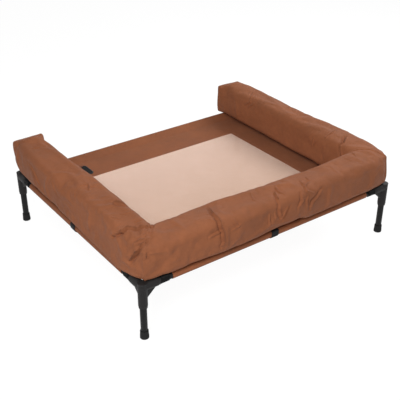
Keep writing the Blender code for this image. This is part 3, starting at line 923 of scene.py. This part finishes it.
# A point that comes twice or three times makes a corner there
MITRE = (
    (-0.14, 0.00), (0.10, 0.00), (0.26, 0.00), (0.285, 0.07), (0.28, 0.33), (0.26, 0.58), (0.25, 0.86),
    (0.25, 0.86),
    (0.08, 0.99), (-0.14, 1.04), (-0.38, 0.99), (-0.52, 0.74), (-0.51, 0.30), (-0.40, 0.02),
)
END_PANEL = (
    (-0.14, 0.00), (0.14, 0.00), (0.42, 0.01), (0.43, 0.03), (0.47, 0.33), (0.49, 0.62), (0.50, 0.91),
    (0.50, 0.91),
    (0.15, 0.92), (-0.15, 0.93), (-0.50, 0.94), (-0.50, 0.94), (-0.50, 0.94), (-0.49, 0.60), (-0.49, 0.30),
    (-0.49, 0.02), (-0.48, 0.01),
)
# Faces of the arms, measured in the photo: distance from the middle line at places along each arm
LEFT_OUTER = (
    (0.386, 0.448), (0.34, 0.461), (0.29, 0.466), (0.12, 0.468), (0.0, 0.462), (-0.16, 0.462),
    (-0.29, 0.466),
)
LEFT_INNER = ((0.386, 0.349), (0.28, 0.349), (0.18, 0.350), (0.04, 0.344), (-0.15, 0.352), (-0.29, 0.349))
RIGHT_OUTER = (
    (0.386, 0.455), (0.34, 0.464), (0.30, 0.468), (0.10, 0.465), (-0.04, 0.460), (-0.18, 0.474),
    (-0.29, 0.468),
)
RIGHT_INNER = ((0.386, 0.359), (0.30, 0.354), (0.20, 0.353), (0.0, 0.345), (-0.20, 0.346), (-0.29, 0.349))
FRONT_OUTER = ((-0.40, 0.397), (-0.32, 0.395), (-0.20, 0.402), (0.05, 0.404), (0.17, 0.404), (0.33, 0.396))
FRONT_INNER = ((-0.35, 0.278), (-0.17, 0.272), (-0.05, 0.282), (0.09, 0.283), (0.22, 0.288), (0.35, 0.279))
# The share by which the left arm's lower outer edge is squared and hangs down, at places along it, and how
# far the front arm's lower edge is raised
LEFT_HANG = ((0.10, 0.0), (0.02, 0.5), (-0.06, 0.7), (-0.13, 1.0), (-0.29, 1.0), (-0.36, 0.0))
LEFT_HANG_MOST = 0.003
FRONT_HANG = ((-0.08, 0.0), (-0.03, -0.006), (0.02, -0.009), (0.075, -0.009), (0.088, 0.0))

REAR_END = 0.384
HEIGHT = 0.1105
CORNER_X = 0.315
CORNER_Y = -0.2435
MIDDLE_X = 0.408
MIDDLE_Y = 0.338
WIDTH_X = 0.116
WIDTH_Y = 0.119
GIRTH = 62
STEP = 0.0064
END_TAPER = 0.045


def measured(table, place):
    table = sorted(table)
    return float(np.interp(place, [p for p, _ in table], [v for _, v in table]))


def round_section(cage):
    """A closed smooth curve through a cage, as points evenly spaced from the middle of its underside."""
    curve = []
    for i in range(len(cage)):
        a, b, c, d = np.roll(cage, 1 - i, axis=0)[:4]
        for t in np.arange(0.0, 1.0, 0.05):
            inner = (3 * t**3 - 6 * t**2 + 4) * b + (-3 * t**3 + 3 * t**2 + 3 * t + 1) * c
            curve.append(((1 - t) ** 3 * a + inner + t**3 * d) / 6)
    curve = np.roll(curve, -10, axis=0)
    curve = np.vstack((curve, curve[:1]))
    steps = run_lengths(curve)
    even = np.linspace(0.0, steps[-1], GIRTH + 1)[:-1]
    return np.column_stack([np.interp(even, steps, curve[:, k]) for k in (0, 1)])


FULL_RING, RIGHT_RING, HANGING_RING = map(round_section, (SECTION, RIGHT_SECTION, HANGING_SECTION))
MITRE_RING, END_RING = map(round_section, (MITRE, END_PANEL))
# The corner's ring: distances out along X and Y, and heights
CORNER_OUT_X = MIDDLE_X + MITRE_RING[:, 0] * WIDTH_X
CORNER_OUT_Y = MIDDLE_Y + MITRE_RING[:, 0] * WIDTH_Y
CORNER_Z = BOLSTER_BASE + HEIGHT * MITRE_RING[:, 1]


def eased(share):
    share = min(1.0, max(0.0, share))
    return share * share * (3 - 2 * share)


def ring_between(first, second, share):
    return first + share * (second - first)


def arm_ring(outer, inner, ring):
    """A ring of (distance out, height) whose sides reach the two measured faces."""
    low, high = ring[:, 0].min(), ring[:, 0].max()
    return inner + (ring[:, 0] - low) / (high - low) * (outer - inner), BOLSTER_BASE + HEIGHT * ring[:, 1]


def rings_to_mitre(last, out_there, along, along_there, length):
    """Rings from an arm's last full one to its mitre, as (distance out, place along, height)."""
    last_out, last_height = last
    count = round(length / STEP)
    rings = []
    for i in range(1, count + 1):
        left = 1.0 - i / count
        fullness = 1.0 - (1.0 - left) ** 3.2
        out = ring_between(out_there, last_out, fullness)
        height = ring_between(CORNER_Z, last_height, fullness)
        rings.append((out, ring_between(along_there, along, left), height))
    return rings


def side_rings(outer_faces, inner_faces, full_ring, hanging=0.0):
    """Rings of a side arm from its rear end to its mitre, as (distance out, Y, height)."""
    rings = []
    for y in np.linspace(REAR_END, CORNER_Y, round((REAR_END - CORNER_Y) / STEP) + 1):
        full = ring_between(full_ring, HANGING_RING, hanging * measured(LEFT_HANG, y))
        ring = ring_between(END_RING, full, eased((REAR_END - y) / END_TAPER) ** 0.7)
        last = arm_ring(measured(outer_faces, y), measured(inner_faces, y), ring)
        rings.append((last[0], np.full(GIRTH, y), last[1]))
    rings += rings_to_mitre(last, CORNER_OUT_X, CORNER_Y, -CORNER_OUT_Y, 0.125)
    return [np.column_stack(ring) for ring in rings]


def front_rings():
    """Rings of the front arm between its mitres, as (X, distance out, height)."""
    middle, ends = [], []
    for x in np.linspace(-CORNER_X, CORNER_X, round(2 * CORNER_X / STEP) + 1):
        out, height = arm_ring(measured(FRONT_OUTER, x), measured(FRONT_INNER, x), FULL_RING)
        middle.append(np.column_stack((np.full(GIRTH, x), out, height)))
    for sign, last in ((-1, middle[0]), (1, middle[-1])):
        rings = rings_to_mitre((last[:, 1], last[:, 2]), CORNER_OUT_Y, CORNER_X, CORNER_OUT_X, 0.093)
        # The side arms carry the mitres' own rings
        ends.append([np.column_stack((sign * x, out, height)) for out, x, height in rings[:-1]])
    return ends[0][::-1] + middle + ends[1]


def end_cap_rings(edge):
    """Rings that close a rear end: its panel, stuffed a little outwards."""
    centre = edge.mean(axis=0)
    rings = []
    for share in (0.95, 0.88, 0.78, 0.64, 0.49, 0.34, 0.20, 0.08):
        ring = centre + share * (edge - centre)
        ring[:, 1] += 0.004 * (1 - share**4)
        rings.append(ring)
    return rings


def whole_tube():
    """All rings of the bolster in one run, and the rows of its four seams."""
    left = [ring * (-1, 1, 1) for ring in side_rings(LEFT_OUTER, LEFT_INNER, FULL_RING, 1.0)]
    front = [ring * (1, -1, 1) for ring in front_rings()]
    right = side_rings(RIGHT_OUTER, RIGHT_INNER, RIGHT_RING)[::-1]
    first_cap, last_cap = end_cap_rings(left[0])[::-1], end_cap_rings(right[-1])
    rings = first_cap + left + front + right + last_cap
    seams = [len(first_cap), len(first_cap) + len(left) - 1]
    seams += [seams[1] + len(front) + 1, len(rings) - len(last_cap) - 1]
    return rings, seams


def bolster_start():
    """The whole tube's mesh before it is stuffed, and its rings' seams and number."""
    rings, seams = whole_tube()
    rows = len(rings)
    points = np.vstack(rings + [rings[0].mean(axis=0), rings[-1].mean(axis=0)])
    faces = grid_faces(rows, GIRTH, around=True)
    first, last, end = rows * GIRTH, rows * GIRTH + 1, (rows - 1) * GIRTH
    for i in range(GIRTH):
        j = (i + 1) % GIRTH
        faces += [(j, i, first), (end + i, end + j, last)]
    piece = mesh_piece("bolster_start", points, faces)
    # Cloth coordinates: along the arm's middle line, and round the girth from the underside. Until the arms
    # are parted, a face's material place says which one it belongs to
    along = run_lengths([ring.mean(axis=0) for ring in rings])
    girth = 0.372
    layer = piece.data.uv_layers.new(name="cloth")
    for face in piece.data.polygons:
        columns = [index % GIRTH for index in face.vertices]
        wraps = max(columns) == GIRTH - 1 and min(columns) == 0
        for k, index, column in zip(face.loop_indices, face.vertices, columns):
            if index >= first:
                layer.data[k].uv = (0.0 if index == first else along[-1], girth / 2)
            else:
                around = GIRTH if wraps and column == 0 else column
                layer.data[k].uv = (along[index // GIRTH], around / GIRTH * girth)
        row = min(min(face.vertices) // GIRTH, rows - 2)
        face.material_index = 0 if row < seams[1] else 1 if row < seams[2] else 2
    for label in ("left", "front", "right"):
        piece.data.materials.append(bpy.data.materials.new("arm " + label))
    return piece, seams, rows


def points_of(piece):
    return np.array([point.co for point in piece.data.vertices])


def normals_of(piece):
    return np.array([point.normal for point in piece.data.vertices])


def move_points(piece, points):
    piece.data.vertices.foreach_set("co", points.astype(np.float32).ravel())
    piece.data.update()


STUFFING = {
    "quality": 7, "mass": 0.25, "tension_stiffness": 18.0, "compression_stiffness": 12.0,
    "shear_stiffness": 8.0, "bending_stiffness": 0.35, "vertex_group_mass": "held",
    "use_pressure": True, "uniform_pressure_force": 4.0,
    "vertex_group_shrink": "gathered", "shrink_min": -0.035, "shrink_max": 0.03,
}
FOLD_CAP = 0.0048
BROAD_SHARE = 0.12


def stuff(piece, seams, rows):
    """Swells and gathers the cover like a stuffed tube, then keeps its small folds on the measured form."""
    held = piece.vertex_groups.new(name="held")
    gathered = piece.vertex_groups.new(name="gathered")
    start, facing = points_of(piece), normals_of(piece)
    for row in range(rows):
        ring = list(range(row * GIRTH, (row + 1) * GIRTH))
        nearness = min(abs(row - seam) for seam in seams)
        if nearness == 0:
            held.add(ring, 1.0, "REPLACE")
        if nearness <= 2:
            gathered.add(ring, 1.0 - nearness / 3, "REPLACE")
    held.add([i for i, p in enumerate(start) if p[2] < BOLSTER_BASE + 0.0012], 1.0, "REPLACE")
    take(piece)
    cloth = piece.modifiers.new("Cloth", "CLOTH")
    for setting, value in STUFFING.items():
        setattr(cloth.settings, setting, value)
    cloth.settings.effector_weights.gravity = 0.0
    cloth.collision_settings.use_collision = False
    cloth.point_cache.frame_start = 1
    cloth.point_cache.frame_end = 20
    for step in range(1, 21):
        bpy.context.scene.frame_set(step)
    bpy.ops.object.modifier_apply(modifier=cloth.name)
    bpy.context.scene.frame_set(1)
    swell = ((points_of(piece) - start) * facing).sum(axis=1)
    sheet = swell[: rows * GIRTH].reshape(rows, GIRTH)
    broad = averaged(sheet, 18)
    folds = FOLD_CAP * np.tanh((sheet - broad) / FOLD_CAP)
    # The right arm is the smoothest in the photo
    folds *= np.interp(np.arange(rows), seams, (1.0, 1.0, 0.7, 0.5))[:, None]
    kept = np.zeros(len(swell))
    kept[: rows * GIRTH] = (folds + BROAD_SHARE * (broad - broad.mean())).ravel()
    above = np.clip((start[:, 2] - BOLSTER_BASE) / 0.028, 0.0, 1.0)
    shape = start + facing * (kept * above**1.5)[:, None]
    shape[:, 2] = np.maximum(shape[:, 2], BOLSTER_BASE)
    move_points(piece, shape)


def averaged(sheet, times):
    """Evens a sheet of values out along the arm and round its girth."""
    for _ in range(times):
        sheet = (np.roll(sheet, 1, axis=1) + 2 * sheet + np.roll(sheet, -1, axis=1)) / 4
        padded = np.vstack((sheet[:1], sheet, sheet[-1:]))
        sheet = (padded[:-2] + 2 * sheet + padded[2:]) / 4
    return sheet


# Creases in the photo: half width, depth and bank in mm, the side that its bank is on (0 is both), and the
# coordinates in mm of the points that it runs through, one after another
CREASES = (
    (3.5, 5.0, 0.6, 0, (-391, -152, 288, -386, -166, 287, -379, -179, 284)),
    (2.4, 1.6, 0.4, 0, (-376, -220, 283, -391, -215, 288, -407, -206, 289)),
    (2.4, 1.4, 0.4, 0, (-432, -207, 286, -424, -219, 287, -415, -230, 289)),
    (2.4, 1.8, 0.4, 0, (-395, -261, 289, -381, -272, 286)),
    (3.2, 4.4, 0.9, 1, (-378, -307, 289, -397, -298, 290, -412, -289, 289, -427, -275, 287, -442, -275, 280,
        -459, -246, 261)),
    (2.6, 1.8, 0.4, 0, (-395, -329, 290, -405, -329, 290, -413, -329, 288)),
    (3.0, 2.4, 0.5, 0, (-407, -347, 287, -418, -342, 285, -427, -337, 283, -443, -333, 275)),
    (3.2, 3.8, 0.9, 1, (-425, -347, 282, -436, -350, 276, -444, -348, 263, -454, -329, 232)),
    (2.0, 1.2, 0.3, 0, (-416, -348, 285, -423, -353, 281, -429, -358, 277)),
    (2.0, 1.2, 0.3, 0, (-410, -352, 284, -423, -362, 277, -432, -367, 271)),
    (3.0, 3.5, 0.3, 0, (-435, -367, 267, -434, -367, 259, -433, -368, 252)),
    (2.2, 1.4, 0.2, 0, (-427, -371, 257, -426, -372, 250, -425, -373, 242)),
    (2.4, 1.0, 0.2, 0, (-424, -372, 262, -413, -377, 262, -398, -382, 260)),
    (3.2, 3.6, 0.5, -1, (-197, -317, 287, -205, -338, 289, -212, -355, 288, -213, -370, 284, -213, -379, 279,
        -213, -387, 271, -209, -395, 255, -211, -398, 242, -207, -398, 225, -213, -397, 214)),
    (2.6, 1.8, 0.3, 0, (-223, -343, 289, -217, -349, 289, -212, -355, 288)),
    (2.6, 1.6, 0.3, 0, (-237, -367, 285, -229, -373, 282, -217, -379, 279)),
    (3.0, 2.2, 0.5, 0, (-251, -395, 252, -234, -394, 255, -215, -394, 257)),
    (3.0, 1.6, 0.4, 0, (-175, -385, 274, -169, -391, 266, -162, -395, 256)),
    (3.0, 1.6, 0.4, 0, (-183, -396, 252, -169, -395, 254, -156, -395, 257)),
    (2.4, 1.2, 0.3, 0, (-179, -338, 290, -172, -337, 290, -164, -336, 290)),
    (2.6, 1.4, 0.3, 0, (-63, -322, 289, -75, -349, 290, -73, -368, 286)),
    (2.8, 2.2, 0.5, 0, (29, -315, 288, 11, -344, 290, 6, -366, 286, 11, -378, 281)),
    (3.0, 4.2, 0.4, -1, (-4, -357, 289, -17, -381, 279, -20, -394, 261, -15, -399, 236)),
    (3.0, 3.2, 0.4, 1, (12, -395, 257, 0, -398, 244, -11, -399, 225)),
    (2.6, 1.8, 0.4, 0, (-53, -397, 252, -55, -399, 238, -53, -398, 221)),
    (2.4, 1.4, 0.3, 0, (-35, -396, 255, -33, -398, 245, -30, -399, 235)),
    (2.6, 2.6, 0.5, 0, (97, -348, 290, 85, -370, 285, 82, -386, 274, 102, -390, 267)),
    (2.2, 1.6, 0.3, 0, (123, -344, 290, 120, -354, 289, 118, -363, 287)),
    (2.6, 2.2, 0.5, -1, (110, -372, 284, 97, -376, 282, 84, -380, 280)),
    (3.0, 2.8, 0.5, -1, (62, -388, 272, 61, -394, 259, 51, -398, 242)),
    (2.6, 2.4, 0.4, 0, (86, -391, 265, 79, -396, 254, 82, -399, 238)),
    (3.4, 3.0, 0.7, -1, (136, -391, 265, 121, -396, 253, 104, -398, 240, 98, -399, 226)),
    (2.4, 1.6, 0.3, 0, (347, -304, 285, 337, -324, 289, 332, -338, 289)),
    (2.4, 1.4, 0.3, 0, (297, -327, 288, 299, -338, 289, 305, -348, 288)),
    (2.6, 2.2, 0.4, 0, (418, 244, 288, 383, 218, 286, 364, 206, 275, 355, 228, 259)),
    (2.6, 1.8, 0.4, 0, (384, 181, 287, 364, 184, 275, 354, 210, 257)),
    (3.0, 2.6, 0.4, 0, (417, -165, 289, 390, -175, 287, 369, -175, 279)),
    (2.6, 1.8, 0.3, 0, (358, -133, 266, 354, -131, 254, 351, -129, 242)),
    (2.4, 1.4, 0.3, 0, (357, -147, 265, 353, -142, 252, 350, -134, 237)),
    (3.2, 4.6, 0.6, -1, (410, -221, 289, 380, -242, 285, 365, -245, 276, 354, -259, 257)),
    (3.0, 1.6, 0.5, 0, (-425, 286, 286, -415, 283, 287, -403, 283, 288)),
    (4.0, 2.2, 0.6, 0, (-462, 249, 257, -465, 217, 248, -467, 177, 226)),
    (3.6, 1.8, 0.5, 0, (-460, 89, 266, -466, 68, 248, -468, 48, 234)),
    (2.6, 1.2, 0.3, 0, (-447, -25, 281, -452, -30, 277, -456, -34, 272)),
    (2.8, 2.6, 0.3, 0, (-396, -12, 290, -403, -29, 290, -411, -45, 290)),
    (2.4, 1.8, 0.3, 0, (-422, -14, 289, -411, -17, 290, -399, -17, 290)),
    (2.4, 1.8, 0.3, 0, (-400, -31, 290, -388, -32, 288, -373, -28, 283)),
)


BANK_HEIGHT = 2.4


def more_creases():
    """Creases like those in the photo, for the faces that it does not show."""
    chance = np.random.default_rng(7)
    made = []
    # Each face: where its middle line starts and ends, and how many creases it gets
    faces = (
        ((500, -280, 235), (500, 360, 235), 10),
        ((-320, -225, 235), (-320, 350, 235), 8),
        ((-290, -250, 235), (290, -250, 235), 9),
    )
    for start, end, number in faces:
        start, end = np.array(start, float), np.array(end, float)
        ahead = (end - start) / np.linalg.norm(end - start)
        for i in range(number):
            spot = start + (end - start) * (i + chance.uniform(0.1, 0.9)) / number
            spot[2] += chance.uniform(-22, 34)
            slope = chance.uniform(-1.3, 1.3)
            length = chance.uniform(14, 42)
            slanting = ahead * sin(slope) + np.array((0, 0, 1)) * cos(slope)
            line = []
            for k in (-1.0, -0.3, 0.4, 1.0):
                line.append(spot + 0.5 * length * k * slanting + chance.uniform(-4.0, 4.0) * ahead)
            width = chance.uniform(2.4, 3.6)
            depth, bank = width * chance.uniform(0.3, 0.65), chance.uniform(0.2, 0.45)
            made.append((width, depth, bank, int(chance.integers(-1, 2)), line))
    return tuple(made)


def press_creases(piece):
    """Presses each crease into the stuffed cover: a soft groove with a bank of pushed-up cloth beside it. It
    also stores a mask of painted shade for the grooves.
    """
    points, facing = points_of(piece), normals_of(piece)
    push, fold_shade = np.zeros(len(points)), np.zeros(len(points))
    for half_width, depth, bank, bank_side, line in CREASES + more_creases():
        half_width, depth = half_width / 1000, depth / 1000
        line = np.array(line).reshape(-1, 3) / 1000
        line = np.array([points[np.argmin(((points - point) ** 2).sum(axis=1))] for point in line])
        reach = 6.0 * half_width
        low, high = line.min(axis=0) - reach, line.max(axis=0) + reach
        near = np.flatnonzero(((points > low) & (points < high)).all(axis=1))
        best, share, sideways = np.full(len(near), 1e9), np.zeros(len(near)), np.zeros(len(near))
        lengths = run_lengths(line)
        for i in range(len(line) - 1):
            run, off = line[i + 1] - line[i], points[near] - line[i]
            along = np.clip((off @ run) / max(run @ run, 1e-12), 0.0, 1.0)
            away = np.linalg.norm(off - along[:, None] * run, axis=1)
            across = np.cross(run, facing[near]) / max(np.linalg.norm(run), 1e-9)
            passed = (lengths[i] + along * (lengths[i + 1] - lengths[i])) / lengths[-1]
            closer = away < best
            best = np.where(closer, away, best)
            sideways = np.where(closer, (off * across).sum(axis=1), sideways)
            share = np.where(closer, passed, share)
        fade = np.sin(np.pi * np.clip(0.12 + 0.76 * share, 0.0, 1.0)) ** 0.7
        width = 0.7 * half_width
        groove = 0.6 * np.exp(-((best / width) ** 2)) + 0.75 * np.exp(-best / (1.3 * width))
        raised = np.exp(-(((best - 3.0 * width) / (1.7 * width)) ** 2))
        on_side = 0.5 + 0.5 * bank_side * np.tanh(sideways / width)
        push[near] += 1.25 * depth * fade * (BANK_HEIGHT * bank * raised * on_side - groove)
        # Painted shade for the canvas: a mask that is strongest in the middle of deep grooves
        darker = fade * min(1.0, depth / 0.0042) * np.exp(-((best / (0.75 * width)) ** 2))
        fold_shade[near] = np.maximum(fold_shade[near], darker)
    move_points(piece, points + facing * push[:, None])
    piece.data.attributes.new("fold_shade", "FLOAT", "POINT").data.foreach_set("value", fold_shade.astype(np.float32))


def gather_seams(piece):
    """Draws the mitre seams in, and crumples the cloth beside them and over the whole cover a little."""
    points = points_of(piece)
    push = np.zeros(len(points))
    for i, (x, y, z) in enumerate(points):
        across = ((abs(x) - MIDDLE_X) - (-y - MIDDLE_Y) * WIDTH_X / WIDTH_Y) / sqrt(2.0)
        from_mitre, from_end = abs(across), abs(y - REAR_END)
        side = 1.0 if x > 0 else -1.0
        # Gathers run away from the seam, so they change fast along it and slowly off it
        if from_mitre < 0.07:
            down = (abs(x) - MIDDLE_X - (y + MIDDLE_Y)) / sqrt(2.0)
            fine = noise_at((down * 62.0, z * 62.0, side * 4.0 + across * 9.0))
            push[i] += 0.0017 * fine * exp(-from_mitre / 0.020) * min(1.0, from_mitre / 0.004)
            push[i] -= 0.0022 * exp(-((from_mitre / 0.0034) ** 2))
        if from_end < 0.05 and y < REAR_END + 0.0005:
            fine = noise_at((x * 70.0, z * 70.0, side * 7.0 + from_end * 10.0))
            push[i] += 0.0016 * fine * exp(-from_end / 0.014) * min(1.0, from_end / 0.004)
        broad = noise_at((x * 8.0, y * 8.0, z * 8.0 + 3.0))
        small = noise_at((x * 21.0 + 5.0, y * 21.0, z * 21.0))
        ridge = 1.0 - abs(noise_at((x * 15.0, y * 15.0 + 9.0, z * 15.0))) * 2.0
        push[i] += 0.0017 * broad + 0.0012 * small + 0.0014 * ridge
    move_points(piece, points + normals_of(piece) * push[:, None])


def rest_on_rails(piece):
    """Keeps the underside off the rails, and lets the outer lower edges hang outside them as in the photo."""
    for point in piece.data.vertices:
        x, y, z = point.co
        z = max(z, BOLSTER_BASE)
        low = 1.0 - eased((z - BOLSTER_BASE) / 0.045)
        past_left, past_front = -LEG_X - 0.0140 - x, -LEG_Y - 0.006 - y
        if low > 0 and past_left > 0:
            z -= LEFT_HANG_MOST * measured(LEFT_HANG, y) * low * min(1.0, past_left / 0.0035)
        elif low > 0 and abs(x) < 0.3 and past_front > 0:
            z -= measured(FRONT_HANG, x) * low * min(1.0, past_front / 0.010)
        # Between the arms of a corner connector the filling bulges down a little
        inside, outside = min(LEG_X - abs(x), LEG_Y + y) - 0.0150, 0.058 - max(LEG_X - abs(x), LEG_Y + y)
        if z < BOLSTER_BASE + 0.003 and inside > 0.0:
            z -= 0.0126 * eased(inside / 0.005) * eased(outside / 0.014)
        point.co.z = z


def part_arms(piece):
    """Parts the tube at its mitres into the three arms, and closes each one."""
    start_shaping(piece)
    pick_all()
    bpy.ops.mesh.separate(type="MATERIAL")
    stop_shaping()
    for arm in [thing for thing in bpy.context.selected_objects if thing.name.startswith("bolster_start")]:
        middle = points_of(arm)[:, 0].mean()
        side = "front" if abs(middle) < 0.2 else "left" if middle < 0 else "right"
        start_shaping(arm)
        bpy.ops.mesh.select_mode(type="EDGE")
        bpy.ops.mesh.select_non_manifold()
        bpy.ops.mesh.fill_holes(sides=0)
        face_out()
        arm.name = arm.data.name = "bolster_arm_" + side
        smooth(arm, 50)
        dress(arm, BOLSTER_CLOTH, "bolster", "bolster_cover", "bolster_" + side)


def make_bolster():
    piece, seams, rows = bolster_start()
    stuff(piece, seams, rows)
    apply(piece, "SUBSURF", levels=2, render_levels=2)
    gather_seams(piece)
    press_creases(piece)
    rest_on_rails(piece)
    part_arms(piece)


# Room, light and camera


def emptied_tree(owner):
    owner.use_nodes = True
    owner.node_tree.nodes.clear()
    return owner.node_tree


def seen_or_lit(tree, shown, lit, output):
    """One shader for what the camera sees, also in a gloss or through a hole, and one for lighting."""
    ray = node(tree, "LightPath").outputs
    seen = maths(tree, "MAXIMUM", ray["Is Camera Ray"], ray["Is Glossy Ray"])
    seen = maths(tree, "MAXIMUM", seen, ray["Is Transmission Ray"])
    mixed = node(tree, "MixShader", {0: seen, 1: lit.outputs[0], 2: shown.outputs[0]})
    node(tree, output, {"Surface": mixed.outputs[0]})


def make_room():
    """A white floor that keeps the sofa's shadow, and an even pale light from all round."""
    deselect()
    bpy.ops.mesh.primitive_plane_add(size=14.0)
    floor = name_it("floor")
    floor.data.materials.append(bpy.data.materials.new("white floor"))
    tree = emptied_tree(floor.data.materials[0])
    lit = node(tree, "BsdfDiffuse", {"Color": (0.86, 0.86, 0.86)})
    shade = node(tree, "BsdfDiffuse", {"Color": (0.10, 0.10, 0.10)}).outputs[0]
    white = node(tree, "Emission", {"Color": (1.0, 1.0, 1.0), "Strength": 0.95}).outputs[0]
    seen_or_lit(tree, node(tree, "AddShader", {0: shade, 1: white}), lit, "OutputMaterial")

    bpy.context.scene.world = bpy.data.worlds.new("pale room")
    tree = emptied_tree(bpy.context.scene.world)
    around = node(tree, "Background", {"Color": (1.0, 0.99, 0.98), "Strength": 0.21})
    behind = node(tree, "Background", {"Color": (1.0, 1.0, 1.0), "Strength": 1.0})
    seen_or_lit(tree, behind, around, "OutputWorld")


def make_lamps():
    """Soft square lamps, turned to the middle of the sofa."""
    lamps = (
        ("key lamp", (-1.3, -1.3, 1.7), 0.9, 39.5),
        ("side lamp", (1.9, 0.0, 1.7), 1.0, 29.0),
        ("rear lamp", (1.4, 1.2, 1.7), 1.2, 5.0),
    )
    for name, place, width, power in lamps:
        light = bpy.data.lights.new(name, "AREA")
        light.shape, light.size, light.energy = "SQUARE", width, power
        lamp = new_thing(name, light)
        lamp.location = place
        lamp.rotation_euler = (Vector((0.0, 0.0, 0.15)) - Vector(place)).to_track_quat("-Z", "Y").to_euler()


def make_camera():
    """The photographer's place: above the front left corner, looking down at the deck."""
    azimuth, elevation, distance = radians(-35.921), radians(30.056), 2.3843
    flat = cos(elevation)
    back = Vector((sin(azimuth) * flat, -cos(azimuth) * flat, sin(elevation)))
    camera = new_thing("camera", bpy.data.cameras.new("camera"))
    camera.data.sensor_width, camera.data.lens = 36.0, 66.764
    camera.location = Vector((-0.00096, -0.00192, 0.0961)) + distance * back
    camera.rotation_euler = (-back).to_track_quat("-Z", "Y").to_euler()
    bpy.context.scene.camera = camera


def main():
    bpy.context.scene.view_settings.view_transform = "Standard"
    make_tubes()
    make_feet()
    make_corners()
    for side in SIDES:
        make_cover(side)
    make_mesh_cloth()
    make_deck_stitches()
    make_straps()
    make_patch()
    make_bolster()
    make_room()
    make_lamps()
    make_camera()


main()
